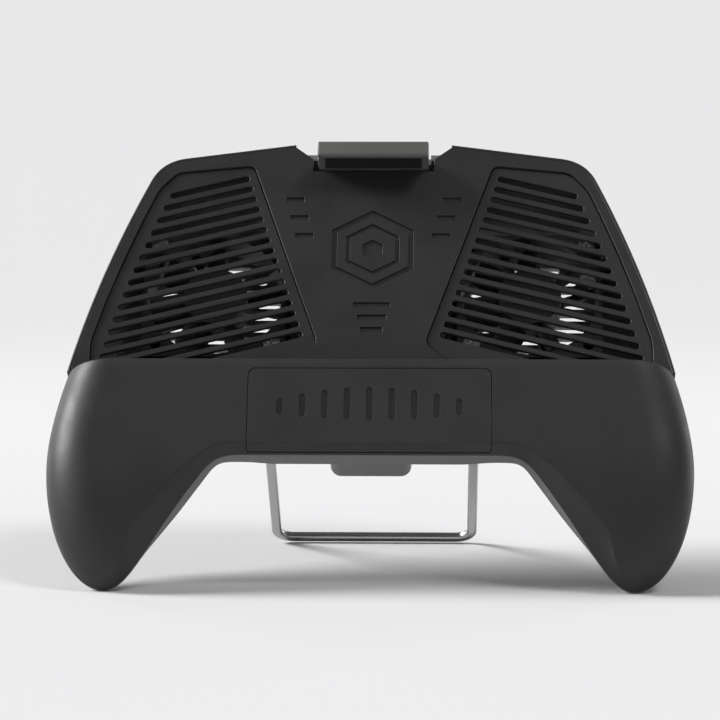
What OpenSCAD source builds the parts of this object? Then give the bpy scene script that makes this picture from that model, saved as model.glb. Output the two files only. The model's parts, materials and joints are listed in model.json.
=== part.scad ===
// Phone grip with two cooling fans, a spring clamp and a fold-out stand.
// Everything is drawn in the deck's own frame and then leaned back onto the stand:
// x runs along the phone, y runs up the deck from the lip, z stands out of the deck.

/* [Stance] */
// Lean of the deck from the floor, degrees
deck_lean = 52.5; // [44:0.5:56]

/* [Deck] */
// Width of the deck where it meets the lip
deck_w = 165; // [158:1:175]
// Height of the deck up its slope, from the lip to the top edge
deck_h = 75.5; // [73:0.5:82]
// Width of the deck between its upper corners, before rounding
deck_top_w = 119.4; // [114:1:126]
// Drop of the top edge from the clamp to the corner
deck_top_drop = 5.7; // [3:0.1:8]
// How far the long side edges bow outward
deck_bow = 1.9; // [0.5:0.1:3]
// Length of the rounding at the upper corners
deck_corner = 7; // [4:0.5:10]
// Thickness of the deck plate
deck_t = 2.4; // [2:0.1:3]
// Depth of the seam below the deck face
seam_drop = 5; // [4:0.2:6]
// Width of the notch that the clamp stands in
notch_w = 34; // [33:0.5:38]

/* [Vents] */
// Slots in each vent
vent_slots = 16; // [10:1:18]
// Width of a vent slot
slot_w = 1.9; // [1.4:0.1:2.2]
// Fall of the slots toward the outside, degrees
slot_fall = 15.6; // [8:0.2:18]
// Depth of the vent below the deck face
vent_sink = 0.6; // [0.4:0.1:0.9]
// Thickness of the vent grille
grille_t = 1.1; // [0.9:0.1:1.2]
// Ledge that carries the grille
grille_ledge = 1.2; // [0.8:0.1:1.6]

/* [Handles] */
// Width across both handles
grips_w = 173.6; // [168:1:184]
// Length of the handles below the lip
grip_drop = 60.2; // [56:0.5:66]
// Distance from the centre to a handle's tip
tip_x = 70; // [67:0.5:73]
// Drop of the seam at the tip below the deck face
tip_seam = 12; // [10:0.5:14]
// Distance below the lip at which the handles are widest
swell_y = 26; // [22:1:30]
// Width of the round shoulder on the outside of each handle
shoulder_w = 13; // [10:0.5:16]
// Depth of the handles behind the deck face
grip_depth = 25; // [23:0.5:28]
// Height of the lip above the deck face
lip_h = 7.5; // [6:0.25:9]
// Height of the bar between the handles, below the lip
bar_h = 27.2; // [26:0.2:29]
// Half length of the straight stretch of the bar
bar_flat = 34; // [33:0.5:36]
// Width of the bevel along the inner edge
bevel_w = 2.4; // [1.8:0.1:3]
// Wall of the front shell
front_wall = 2.2; // [1.8:0.1:2.6]

/* [Back] */
// Depth of the body behind the deck face
body_depth = 20; // [19.5:0.25:22]
// Wall of the rear shell
rear_wall = 2; // [1.8:0.1:2.4]
// Rounding of the back along the deck's edges
back_round = 7; // [5:0.5:8]
// Distance from the lip down to the lower edge of the flat back
back_low = 13; // [12:0.5:14]
// Width of the hump in the middle of the back
hump_w = 21.6; // [20:0.2:22]
// How far the hump stands out from the back
hump_h = 5; // [3.5:0.25:5.5]
// Height of the rear shell's rim under the bar
rim_bar = 5; // [3:0.25:6]
// Height of the rim beside the deck and the handles
rim_side = 3; // [2:0.25:4]
// Height of the rim at the handles' tips
rim_tip = 0.6; // [0.4:0.1:2]
// How far the rim's foot stands out along the inside of the handles
rim_flare = 1.5; // [0:0.1:2]

/* [Front panel] */
// Width of the front panel
panel_w = 65; // [60:0.5:65]
// Distance from the lip to the top of the panel
panel_top = 3.2; // [3:0.2:5]
// Thickness of the panel
panel_t = 2; // [1.6:0.1:2.2]
// Seam round the panel
panel_gap = 0.2; // [0.15:0.05:0.4]

/* [Clamp] */
// Phone width at which the clamp stands
phone_w = 67.3; // [66.5:0.1:67.5]
// Room for the phone under the hook
phone_t = 7.6; // [7:0.1:9]
// Width of the hook
hook_w = 31; // [28:0.5:32]
// Thickness of the hook's wall
hook_t = 2.8; // [2:0.1:3]
// Thickness of the hook's lid over the phone
hook_lid = 2; // [1.4:0.1:2.4]
// Reach of the hook over the phone
hook_reach = 2.3; // [1.8:0.1:3]
// Width of the sliding tongue
tongue_w = 26; // [24:0.5:26.5]
// Thickness of the tongue
tongue_t = 4; // [3:0.2:4]
// Travel of the clamp
clamp_travel = 22; // [15:1:22]
// Outside diameter of the return springs
spring_d = 4; // [3.4:0.1:4]
// Wire of the return springs
spring_wire = 0.6; // [0.5:0.05:0.7]
// Turns in each return spring
spring_turns = 11; // [8:1:13]
// Running clearance of sliding faces
slide_gap = 0.3; // [0.2:0.05:0.4]

/* [Fans] */
// Outside size of a fan frame
fan_w = 40; // [38:0.5:41]
// Thickness of a fan frame
fan_t = 10; // [9.5:0.1:10.4]
// Distance from the centre to a fan's axis
fan_x = 43.5; // [43.2:0.1:44.2]
// Distance from the lip to a fan's axis
fan_y = 29; // [28:0.5:31]
// Bore of the fan frame
fan_bore = 38; // [36:0.2:38.4]
// Gap between the blade tips and the frame
fan_tip_gap = 0.7; // [0.5:0.1:1]
// Diameter of the impeller hub
fan_hub_d = 17.6; // [16:0.2:19]
// Blades on each impeller
fan_blades = 7; // [5:1:9]
// Diameter of the fan shaft
fan_shaft_d = 2; // [1.5:0.1:2.5]
// Radial clearance of the shaft in its bush
shaft_gap = 0.05; // [0.03:0.01:0.08]

/* [Stand] */
// Distance between the outer faces of the stand's legs
stand_w = 59; // [54:0.2:60]
// Width of the stand's bar
stand_bar = 2.8; // [2.2:0.1:3]
// Corner radius of the stand, outside
stand_r = 6; // [4:0.1:7]
// Diameter of the stand's hinge pins
stand_pin_d = 2.2; // [2:0.1:2.4]
// Radial clearance of the hinge pins
pin_gap = 0.05; // [0.03:0.01:0.08]

/* [Hidden] */
$fn = 48;

fit = 0.15;
seam = 0.15;
touch = 0.05;

shell_col = "#303031";
deck_col = "#2a2a2b";
back_col = "#6f6f70";
trim_col = "#585a57";
steel_col = "#b4b6b4";

// Curves in the plane and in space

function mix(a, b, t) = a + (b - a) * t;
function bez2(a, b, c, t) = mix(mix(a, b, t), mix(b, c, t), t);
function bez3(a, b, c, d, t) = mix(bez2(a, b, c, t), bez2(b, c, d, t), t);
function ease(t) = let (c = max(0, min(1, t))) c * c * (3 - 2 * c);
function unit(v) = v / max(norm(v), 1e-9);
function flip(p) = [-p.x, p.y, p.z];
function turn_left(v) = unit([-v.y, v.x, 0]);
function reversed(list) = [for (i = [len(list) - 1:-1:0]) list[i]];

// Deck outline, right half, from the middle of the top edge down to the lip

lip_x = deck_w / 2;
top_x = deck_top_w / 2;
peak_x = notch_w / 2 + 5;
upper_corner = [top_x, deck_h - deck_top_drop, -seam_drop];
lip_corner = [lip_x, 0, -seam_drop];
side_mid = mix(lip_corner, upper_corner, 0.5);
side_out = turn_left(lip_corner - upper_corner);
side_pull = side_mid + 2 * deck_bow * side_out;
side_len = norm(upper_corner - lip_corner);
top_dir = unit([peak_x, deck_h, -seam_drop] - upper_corner);

function side_curve(t) = bez2(upper_corner, side_pull, lip_corner, t);
side_start = deck_corner / side_len;
function corner_curve(t) = bez2(upper_corner + deck_corner * top_dir, upper_corner, side_curve(side_start), t);
function deck_edge_x(y) = let (t = y / upper_corner.y)
    mix(lip_x, top_x, t) + 4 * deck_bow * t * (1 - t);

deck_half = concat(
    [[0, deck_h, -seam_drop], [peak_x, deck_h, -seam_drop]],
    [for (k = [0:5]) corner_curve(k / 5)],
    [for (k = [1:9]) side_curve(mix(side_start, 1, k / 10))]
);

// Seam of the handles, right half: the outer edge from lip to tip, the inner edge from bar to tip

grip_x = grips_w / 2;
tip = [tip_x, -grip_drop, -tip_seam];
swell = [grip_x, -swell_y, -seam_drop - 1.5];
below_swell = grip_drop - swell_y;
function out_curve(s) = s < 0.5
    ? bez3(lip_corner, [lip_x + 0.5 * (grip_x - lip_x), -0.3 * swell_y, -seam_drop],
           [grip_x, -0.7 * swell_y, -seam_drop - 0.5], swell, 2 * s)
    : bez3(swell, [grip_x, -swell_y - 0.53 * below_swell, -seam_drop - 4],
           [mix(tip_x, grip_x, 0.66), -grip_drop, -tip_seam], tip, 2 * s - 1);

bar_seam = 2.7;
elbow = [bar_flat + 13.5, -bar_h - 6.7, 0.4];
elbow_dir = [0.67, -0.742, -0.2];
function inn_curve(g) = g < 0.4
    ? bez3([bar_flat, -bar_h, bar_seam], [bar_flat + 7, -bar_h, bar_seam],
           elbow - 6 * elbow_dir, elbow, g / 0.4)
    : bez3(elbow, elbow + 9 * elbow_dir, tip + [-6.5, 2.7, 4], tip, (g - 0.4) / 0.6);
function inn_side(g) = turn_left(inn_curve(min(1, g + 0.01)) - inn_curve(max(0, g - 0.01)));

out_table = [for (k = [0:40]) out_curve(k / 40)];
function out_x(y) = lookup(-y, [for (p = out_table) [-p.y, p.x]]);
function out_z(y) = lookup(-y, [for (p = out_table) [-p.y, p.z]]);

// Front of the shell: a gently falling face, rounded over at the outside of the handles

face_fall = 0.11;
face_droop = 0.0063;
function face_z(y) = lip_h + face_fall * min(0, y + 2) - face_droop * pow(max(0, -25 - y), 2);
function over(d) = 1 - sqrt(1 - pow(max(0, min(1, 1 - d / shoulder_w)), 2));
function front_z(x, y) = face_z(y) - (face_z(y) - out_z(y)) * over(out_x(y) - x);

lip_edge = 0.5;
lip_root = -4;
face_steps = [0.06, 0.18, 0.34, 0.5, 0.66, 0.8, 0.91, 1];
bevel_steps = [0.4, 0.75, 1];

// One row of the front skin: up the lip's inner wall, down the face to c, and over the bevel to p
function front_row(ax, c, p, bevel) = let (
        az = front_z(ax, -lip_edge),
        a = [ax, -lip_edge],
        cz = front_z(c.x, c.y)
    ) concat(
        [[ax, 0, lip_root], [ax, 0, az - lip_edge], [ax, -lip_edge, az]],
        [for (f = face_steps) let (q = mix(a, [c.x, c.y], f)) [q.x, q.y, front_z(q.x, q.y)]],
        [for (f = bevel_steps) let (q = mix([c.x, c.y], [p.x, p.y], f))
            [q.x, q.y, bevel ? mix(cz, p.z, f) : f == 1 ? p.z : front_z(q.x, q.y)]]
    );

inner_rows = 20;
outer_rows = 18;
lip_tip_x = lip_x - 17;
tip_share = 0.95;
front_half = concat(
    [for (k = [0:inner_rows]) let (
            g = k / inner_rows,
            p = inn_curve(g),
            ax = mix(bar_flat, lip_tip_x, pow(g, 0.8)),
            b = p + bevel_w * inn_side(g),
            c = mix([b.x, b.y], mix([ax, -lip_edge], [p.x, p.y], tip_share), ease((g - 0.75) / 0.25)))
        front_row(ax, c, p, true)],
    [for (k = [1:outer_rows]) let (
            s = k / outer_rows,
            p = out_curve(1 - s),
            ax = mix(lip_tip_x, lip_x - 0.9, sin(90 * s)),
            c = mix([ax, -lip_edge], [p.x, p.y], mix(tip_share, 0.8, s)))
        front_row(ax, c, p, false)]
);
function mirrored_rows(half) = concat(reversed([for (r = half) [for (p = r) flip(p)]]), half);
front_outer = mirrored_rows(front_half);

// Back of the shell: from the seam round to the flat back, or to the ridge of each handle

back_z = -body_depth;
ridge_start = [deck_w / 2 - 20, -back_low + 2, back_z];
ridge_end = [tip_x - 0.4, -grip_drop + 8.4, -tip_seam - 6];
function ridge(t) = bez3(ridge_start, [tip_x - 6, -22, -grip_depth - 1.5],
    [tip_x - 3, -36, -grip_depth], ridge_end, t);
function deck_inset(i) = let (
        a = deck_half[max(0, i - 1)],
        b = deck_half[min(len(deck_half) - 1, i + 1)],
        n = turn_left(a - b),
        p = deck_half[i])
    [p.x + back_round * n.x, p.y + back_round * n.y, back_z];
shoulder_low = [lip_x - back_round + 0.5, 1, back_z];

rim_bend = 0.8 * rim_bar;
function tip_fade(g) = 1 - ease((g - 0.57) / 0.4);
function inn_rim(g) = mix(rim_tip, mix(rim_bend, rim_side, ease(g / 0.2)), tip_fade(g));
// How far the foot of the rim stands out between the handles
function inn_flare(g) = -rim_flare * ease((g - 0.15) / 0.3) * tip_fade(g) * inn_side(g);
function out_rim(s) = mix(rim_side, rim_tip, ease((s - 0.2) / 0.6));
// Towards a tip the back runs straighter from the seam to the ridge
function tip_full(t) = mix(1, 0.4, ease((t - 0.45) / 0.45));
back_steps = [0, 0.16, 0.34, 0.54, 0.76, 1];
// One row of the back skin from seam point p down its rim to s; full = 1 gives an ellipse, 0 a straight slope
function back_row(p, s, full, rim, flare = [0, 0, 0]) = let (foot = p + flare - [0, 0, rim]) concat(
    [p - [0, 0, seam]],
    [for (f = back_steps) let (
            out = mix(f, 1 - cos(90 * f), full),
            down = mix(f, sin(90 * f), full))
        [mix(foot.x, s.x, out), mix(foot.y, s.y, out), mix(foot.z, s.z, down)]]
);

ridge_rows = 13;
out_lead = 0.14;
inn_lead = 0.3;
bar_crown_x = bar_flat - 10;
// Rows run from the bar round the handle's tip, up its outside and the deck's side to the top
back_bar = [back_row([bar_crown_x, -bar_h, bar_seam], [bar_crown_x, -back_low, back_z], 0, rim_bar)];
back_lead_inn = [for (k = [0:4]) let (f = k / 5)
    back_row(inn_curve(inn_lead * f), mix([bar_flat, -back_low, back_z], ridge_start, f), 0.45 * f,
        inn_rim(inn_lead * f), inn_flare(inn_lead * f))];
back_inn = [for (k = [0:ridge_rows - 1]) let (t = k / ridge_rows, g = mix(inn_lead, 1, t))
    back_row(inn_curve(g), ridge(t), mix(0.45, 1, min(1, 2.5 * t)) * tip_full(t), inn_rim(g), inn_flare(g))];
back_out = [for (k = [ridge_rows:-1:0]) let (t = k / ridge_rows, s = mix(out_lead, 1, t))
    back_row(out_curve(s), ridge(t), tip_full(t), out_rim(s))];
back_lead_out = [for (k = [2:-1:0]) let (f = k / 3)
    back_row(out_curve(out_lead * f), mix(shoulder_low, ridge_start, f), 0.9, rim_side)];
back_deck = [for (i = [len(deck_half) - 1:-1:0]) back_row(deck_half[i], deck_inset(i), 0.9, rim_side)];
back_half = concat(back_bar, back_lead_inn, back_inn, back_out, back_lead_out, back_deck);
half_rows = len(back_half);
back_outer = concat(back_half, [for (i = [half_rows - 2:-1:0]) [for (p = back_half[i]) flip(p)]]);
flat_to = len(back_bar) + len(back_lead_inn);
flat_from = flat_to + 2 * ridge_rows + 1;
flat_half = concat([for (i = [0:flat_to]) i], [for (i = [flat_from:half_rows - 1]) i]);
flat_rows = concat(flat_half, [for (i = reversed(flat_half)) if (i < half_rows - 1) 2 * half_rows - 2 - i]);

// Wall thickness: each point of a skin moves in along its own normal

function wrap(i, n, closed) = closed ? (i + n) % n : max(0, min(n - 1, i));
function skin_normal(g, i, j, closed) = unit(cross(
    g[wrap(i + 1, len(g), closed)][j] - g[wrap(i - 1, len(g), closed)][j],
    g[i][min(j + 1, len(g[0]) - 1)] - g[i][max(j - 1, 0)]));
function edge_normal(g, i, j, closed) = turn_left(
    g[wrap(i + 1, len(g), closed)][j] - g[wrap(i - 1, len(g), closed)][j]);

front_cols = len(front_outer[0]);
front_inner = [for (i = [0:len(front_outer) - 1]) [for (j = [0:front_cols - 1])
    let (p = front_outer[i][j], n = skin_normal(front_outer, i, j, false))
    j == front_cols - 1 ? p + front_wall * edge_normal(front_outer, i, j, false)
        : j == 0 ? p - [0, front_wall, 0]
        : p + front_wall * n]];
back_cols = len(back_outer[0]);
back_inner = [for (i = [0:len(back_outer) - 1]) [for (j = [0:back_cols - 1])
    let (p = back_outer[i][j], n = skin_normal(back_outer, i, j, true))
    j < 2 ? p + rear_wall * edge_normal(back_outer, i, j, true)
        : j == back_cols - 1 ? p + [0, 0, rear_wall]
        : p + rear_wall * n]];

function quad(a, b, c, d) = [[a, b, c], [a, c, d]];
// A solid between two skins of the same size, closed along their open edges
module sheet(outer, inner, closed, cap) {
    n = len(outer);
    m = len(outer[0]);
    half = n * m;
    pts = concat([for (r = outer) each r], [for (r = inner) each r]);
    last = closed ? n - 1 : n - 2;
    faces = concat(
        [for (i = [0:last]) for (j = [0:m - 2]) let (k = (i + 1) % n)
            each quad(i * m + j, k * m + j, k * m + j + 1, i * m + j + 1)],
        [for (i = [0:last]) for (j = [0:m - 2]) let (k = (i + 1) % n)
            each quad(half + i * m + j, half + i * m + j + 1, half + k * m + j + 1, half + k * m + j)],
        [for (i = [0:last]) let (k = (i + 1) % n) each quad(i * m, half + i * m, half + k * m, k * m)],
        closed ? [] : [for (i = [0:last]) each quad(i * m + m - 1, (i + 1) * m + m - 1,
            half + (i + 1) * m + m - 1, half + i * m + m - 1)],
        closed ? [] : [for (j = [0:m - 2]) each quad(j, j + 1, half + j + 1, half + j)],
        closed ? [] : [for (j = [0:m - 2]) let (o = (n - 1) * m)
            each quad(o + j, half + o + j, half + o + j + 1, o + j + 1)],
        len(cap) == 0 ? [] : [[for (i = cap) i * m + m - 1]],
        len(cap) == 0 ? [] : [reversed([for (i = cap) half + i * m + m - 1])]
    );
    polyhedron(pts, faces, convexity = 8);
}

// Stance: lean the deck back, stand the lowest points on the floor, centre the footprint

lean_s = sin(deck_lean);
lean_c = cos(deck_lean);
floor_drop = -min([for (r = back_outer) for (p = r) p.y * lean_s + p.z * lean_c]);
front_most = min([for (r = front_outer) for (p = r) p.y * lean_c - p.z * lean_s]);
rear_most = max([for (r = back_outer) for (p = r) p.y * lean_c - p.z * lean_s]);
module stance() {
    translate([0, -(front_most + rear_most) / 2, floor_drop]) rotate([deck_lean, 0, 0]) children();
}
module both() {
    children();
    mirror([1, 0, 0]) children();
}

// Fasteners and where they sit

screw_d = 2.2;
screw_head_d = 4.6;
screw_head_h = 1.2;
small_d = 1.6;
small_head_d = 3.4;
small_head_h = 1;
screw_len = 8;
small_len = 5;
post_d = 7;
tee_w = 40.2;
guide_wall = 1.6;
guide_in = tee_w / 2 + slide_gap;
deck_post = [guide_in + guide_wall + post_d / 2 + 0.3, phone_w - 10.3];
bar_post = [bar_flat + 12, -8];
grip_post = ridge(0.55);
grip_back = grip_post.z;
floor_in = back_z + rear_wall;

module screw(d, head_d, head_h, length) {
    difference() {
        union() {
            cylinder(d = head_d, h = head_h);
            cylinder(d = d, h = head_h + length);
        }
        for (a = [0, 90]) rotate(a)
            translate([-head_d * 0.28, -d * 0.15, -0.1]) cube([head_d * 0.56, d * 0.3, head_h * 0.6]);
    }
}

// Shells

panel_half = panel_w / 2;
module panel_window(gap) {
    r = 2;
    x = panel_half + gap;
    top = -panel_top + gap;
    translate([0, 0, bar_seam - 6]) linear_extrude(lip_h + 8) union() {
        translate([-x, -bar_h - 1]) square([2 * x, bar_h + 1 + top - r]);
        translate([-x + r, -bar_h - 1]) square([2 * x - 2 * r, bar_h + 1 + top]);
        for (sx = [-1, 1]) translate([sx * (x - r), top - r]) circle(r);
    }
}

module gusset(dir, reach, drop) {
    rotate(dir) hull() {
        translate([0, -0.6, 0]) cube([reach, 1.2, 1]);
        translate([0, -0.6, -drop]) cube([post_d / 2 + 0.3, 1.2, 1]);
    }
}

module front_shell() {
    post_top = face_z(bar_post.y) - front_wall / 2;
    grip_top = face_z(grip_post.y) - front_wall / 2;
    color(shell_col) difference() {
        union() {
            difference() {
                sheet(front_outer, front_inner, false, []);
                panel_window(panel_gap);
            }
            both() {
                translate([bar_post.x, bar_post.y, floor_in + touch])
                    cylinder(d = post_d, h = post_top - floor_in - touch, $fn = 24);
                translate([grip_post.x, grip_post.y, grip_back + rear_wall + touch])
                    cylinder(d = post_d, h = grip_top - grip_back - rear_wall - touch, $fn = 24);
                translate([bar_post.x, bar_post.y, post_top - 1])
                    for (a = [30, 150, 270]) gusset(a, post_d / 2 + 2, 6);
                translate([grip_post.x, grip_post.y, grip_top - 1])
                    for (a = [90, 210, 330]) gusset(a, post_d / 2 + 2, 6);
            }
        }
        both() {
            translate([bar_post.x, bar_post.y, back_z]) cylinder(d = screw_d + 0.1, h = 14, $fn = 16);
            translate([grip_post.x, grip_post.y, grip_back]) cylinder(d = screw_d + 0.1, h = 14, $fn = 16);
        }
    }
}

// Back: hump, rear vents, and the seats for everything inside

hump_low = -back_low - 6.3;
hump_top = 36;
hump_rise = -12.6;
module hump(inset, top) {
    r = 3;
    x = hump_w / 2 - r;
    hull() for (sx = [-x, x]) for (y = [hump_low + r, hump_top - r])
        translate([sx, y, 0]) {
            translate([0, 0, back_z - hump_h + r]) sphere(r = r - inset, $fn = 20);
            translate([0, 0, top - 1]) cylinder(r = r - inset, h = 1, $fn = 20);
        }
}

fan_pitch = fan_w * 0.8;
fan_seat = floor_in + 1.5;
rear_slots = 9;
rear_pitch = 3.9;
rear_slot_w = 2.2;
module rear_vent() {
    for (k = [0:rear_slots - 1]) {
        dy = (k - (rear_slots - 1) / 2) * rear_pitch;
        dx = sqrt(pow(fan_bore / 2 - 1, 2) - dy * dy) - rear_slot_w / 2;
        translate([fan_x, fan_y + dy, back_z - 1]) hull() for (sx = [-dx, dx])
            translate([sx, 0, 0]) cylinder(d = rear_slot_w, h = rear_wall + 1.2, $fn = 12);
    }
}
function fan_corners() = [for (sx = [-0.5, 0.5]) for (sy = [-0.5, 0.5])
    [fan_x + sx * fan_pitch, fan_y + sy * fan_pitch]];
function fan_screw_spots() = [fan_corners()[0], fan_corners()[3]];

board_t = 1.6;
board_w = 40;
board_low = -back_low - 1;
board_len = 44;
board_z = floor_in + 6;
board_inset = 3;
function board_holes() = [for (sx = [-1, 1])
    for (y = [board_low + board_inset + 6, board_low + board_len - board_inset])
    [sx * (board_w / 2 - board_inset), y]];

button_pos = [-15.5, 4];
button_d = 6.8;
button_gap = 0.3;
button_travel = 0.5;
button_proud = 0.9;

port_x = 15.5;
port_w = 9;
port_h = 3.2;
port_z = board_z - port_h / 2 - touch;
slope_z0 = bar_seam - rim_bar;
function slope_y(z) = mix(-bar_h, -back_low, (slope_z0 - z) / (slope_z0 - back_z));

battery_w = 58;
battery_l = 16;
battery_t = 8;
battery_y = -3.5;
battery_z = -6.5;
cradle_x = board_w / 2 + 2.5;
module cradle() {
    translate([cradle_x, 0, 0]) rotate([90, 0, 90]) linear_extrude(2) polygon([
        [slope_y(battery_z) + 1.4, battery_z - touch], [battery_y, battery_z - touch],
        [battery_y, floor_in - 0.5], [slope_y(floor_in) + 1.4, floor_in - 0.5]]);
}

pivot_y = -back_low + 3.5;
pivot_z = back_z - 2.3;
lug_x = stand_w / 2 + 0.4;
lug_w = 5;
bracket_foot = 8.5;
bracket_screw = [lug_x + lug_w + bracket_foot / 2, pivot_y];

module stadium_y(w, h, depth) {
    rotate([90, 0, 0]) linear_extrude(depth) union() {
        square([w - h, h], center = true);
        for (sx = [-1, 1]) translate([sx * (w - h) / 2, 0]) circle(h / 2);
    }
}

module rear_shell() {
    color(back_col) difference() {
        union() {
            sheet(back_outer, back_inner, true, flat_rows);
            hump(0, hump_rise);
            both() cradle();
            both() for (p = fan_corners()) translate([p.x, p.y, floor_in - 0.5])
                cylinder(d = 6, h = fan_seat - floor_in + 0.5 - touch, $fn = 16);
            for (p = board_holes()) translate([p.x, p.y, floor_in - 0.5])
                cylinder(d = 4.4, h = board_z - floor_in + 0.5 - touch, $fn = 16);
            both() translate([bracket_screw.x, bracket_screw.y, floor_in - 0.5])
                cylinder(d = 5, h = 4, $fn = 16);
        }
        hump(rear_wall, hump_rise + 2);
        both() rear_vent();
        both() for (p = fan_screw_spots()) translate([p.x, p.y, back_z + 0.6])
            cylinder(d = screw_d + 0.2, h = 6, $fn = 12);
        for (p = board_holes()) translate([p.x, p.y, board_z - 5])
            cylinder(d = small_d + 0.1, h = 6, $fn = 12);
        both() translate([bracket_screw.x, bracket_screw.y, back_z - 1])
            cylinder(d = small_d + 0.1, h = 6, $fn = 12);
        both() for (p = [[deck_post.x, deck_post.y, back_z], [bar_post.x, bar_post.y, back_z], grip_post])
            translate(p) {
                translate([0, 0, -1]) cylinder(d = screw_d + 0.6, h = rear_wall + 2, $fn = 16);
                translate([0, 0, -4]) cylinder(d = screw_head_d + 0.6, h = 4 + screw_head_h, $fn = 20);
            }
        both() translate([grip_post.x, grip_post.y, grip_back + rear_wall])
            cylinder(d = post_d + 0.6, h = 6, $fn = 24);
        translate([button_pos.x, button_pos.y, back_z - 1])
            cylinder(d = button_d + 2 * button_gap, h = rear_wall + 2, $fn = 32);
        translate([port_x, slope_y(port_z) + 4, port_z]) stadium_y(port_w + 0.6, port_h + 0.6, 8);
        translate([-hook_w / 2 - 0.6, deck_h - 12, tongue_low - 0.5]) cube([hook_w + 1.2, 14, 8]);
    }
}

// Deck, vent grilles and front panel

vent_top = [deck_edge_x(deck_h - 15.5) - 3.6, deck_h - 15.5];
vent_in_top = [33.6, deck_h - 7.2];
vent_in_low = [14.6, 9.6];
vent_low_y = 2.6;
slot_in_top = [34.9, 64.3];
slot_in_low = [18.8, 12.7];
slot_edge = 7.5;

module vent_shape(grow) {
    offset(delta = grow) offset(r = 2) offset(delta = -2) polygon(concat(
        [vent_in_top, vent_in_low, [vent_in_low.x + 8, vent_low_y]],
        [for (y = [vent_low_y, 10, 24, 38, 52, deck_h - 15.5])
            [deck_edge_x(y) - (y == vent_low_y ? 5.4 : 3.6), y]],
        [[top_x - 4.5, deck_h - 9.6]]));
}

function slot_at(i) = mix(slot_in_top, slot_in_low, i / (vent_slots - 1));
function slot_reach(p, l) = (deck_edge_x(max(0, p.y - l * sin(slot_fall))) - slot_edge - p.x) / cos(slot_fall);
function slot_len(p) = slot_reach(p, slot_reach(p, slot_reach(p, 20)));
module vent_slot(p) {
    l = slot_len(p) - slot_w;
    translate([p.x, p.y]) rotate(-slot_fall) {
        translate([slot_w / 2, -slot_w / 2]) square([l, slot_w]);
        for (x = [0, l]) translate([x + slot_w / 2, 0]) circle(slot_w / 2);
    }
}

module vent_grille() {
    color(deck_col) translate([0, 0, -vent_sink - grille_t]) linear_extrude(grille_t) difference() {
        vent_shape(-fit);
        intersection() {
            union() for (i = [0:vent_slots - 1]) vent_slot(slot_at(i));
            vent_shape(-grille_ledge - 0.8);
        }
    }
}
module right_vent_grille() vent_grille();
module left_vent_grille() mirror([1, 0, 0]) vent_grille();

deck_gap = 0.25;
function flat(list) = [for (p = list) [p.x, p.y]];
module deck_shape() {
    polygon(concat(flat(deck_half), [[lip_x - 0.1, deck_gap]], [[-lip_x + 0.1, deck_gap]],
        flat(reversed([for (i = [1:len(deck_half) - 1]) flip(deck_half[i])]))));
}
module notch_shape() {
    n = notch_w / 2;
    polygon([[-peak_x - 1, deck_h + 1], [-n, deck_h - 5], [-n, phone_w - 0.9], [n, phone_w - 0.9],
        [n, deck_h - 5], [peak_x + 1, deck_h + 1]]);
}

tongue_top = -deck_t - slide_gap;
tongue_low = tongue_top - tongue_t;
guide_z = tongue_low - slide_gap;
guide_boss = [51, 7];
boss_d = 5;

groove = 0.5;
emblem_y = 40;
module groove_ring(r, w) {
    difference() {
        circle(r = r, $fn = 6);
        circle(r = r - w, $fn = 6);
    }
}
// A plain hexagon badge with a ladder of short bars under it
module deck_emblem() {
    translate([0, emblem_y]) {
        rotate(30) groove_ring(13, 1.6);
        rotate(30) groove_ring(8.5, 1.2);
        rotate(30) circle(r = 3.2, $fn = 6);
    }
    for (k = [0:2]) translate([-5 + k, emblem_y - 19 - 4 * k]) square([10 - 2 * k, 1.6]);
    for (k = [0:2]) both() translate([16.5 + 1.4 * k, emblem_y + 4 + 6 * k]) square([5, 1.4]);
}

module deck_cover() {
    color(deck_col) difference() {
        union() {
            translate([0, 0, -deck_t]) linear_extrude(deck_t) deck_shape();
            translate([0, 0, -seam_drop]) linear_extrude(seam_drop - deck_t + 0.5) difference() {
                deck_shape();
                offset(delta = -rear_wall) deck_shape();
                translate([-200, -1]) square([400, 5]);
            }
            both() translate([deck_post.x, deck_post.y, floor_in + touch])
                cylinder(d = post_d, h = -floor_in - touch - deck_t + 0.5);
            for (y = guide_boss) translate([0, y, guide_z + touch])
                cylinder(d = boss_d, h = -deck_t - guide_z - touch + 0.5);
        }
        translate([0, 0, -seam_drop - 1]) linear_extrude(seam_drop + 2) notch_shape();
        both() {
            translate([0, 0, -vent_sink - grille_t - touch]) linear_extrude(4) vent_shape(0);
            translate([0, 0, -deck_t - 1]) linear_extrude(4) vent_shape(-grille_ledge);
            translate([deck_post.x, deck_post.y, floor_in - 1]) cylinder(d = screw_d, h = 10);
        }
        for (y = guide_boss) translate([0, y, guide_z - 1]) cylinder(d = small_d, h = 5);
        translate([0, 0, -groove]) linear_extrude(1) deck_emblem();
    }
}

module panel_bars() {
    for (k = [-4:4]) translate([6 * k, -13.4 - 0.06 * k * k]) {
        h = 8 - 0.3 * k * k;
        translate([-0.8, -h / 2]) square([1.6, h]);
        for (sy = [-h / 2, h / 2]) translate([0, sy]) circle(0.8);
    }
}
module front_panel() {
    y0 = -panel_top;
    crease = -bar_h + bevel_w;
    color(shell_col) difference() {
        intersection() {
            translate([-panel_half - 2, 0, 0]) rotate([90, 0, 90]) linear_extrude(panel_w + 4) polygon([
                [y0, face_z(y0)], [crease, face_z(crease)], [-bar_h, bar_seam],
                [-bar_h + panel_t, bar_seam], [crease + 0.4 * panel_t, face_z(crease) - panel_t],
                [y0, face_z(y0) - panel_t]]);
            panel_window(0);
        }
        translate([0, 0, face_z(-18) - groove]) linear_extrude(5) panel_bars();
    }
}

// Clamp

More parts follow.
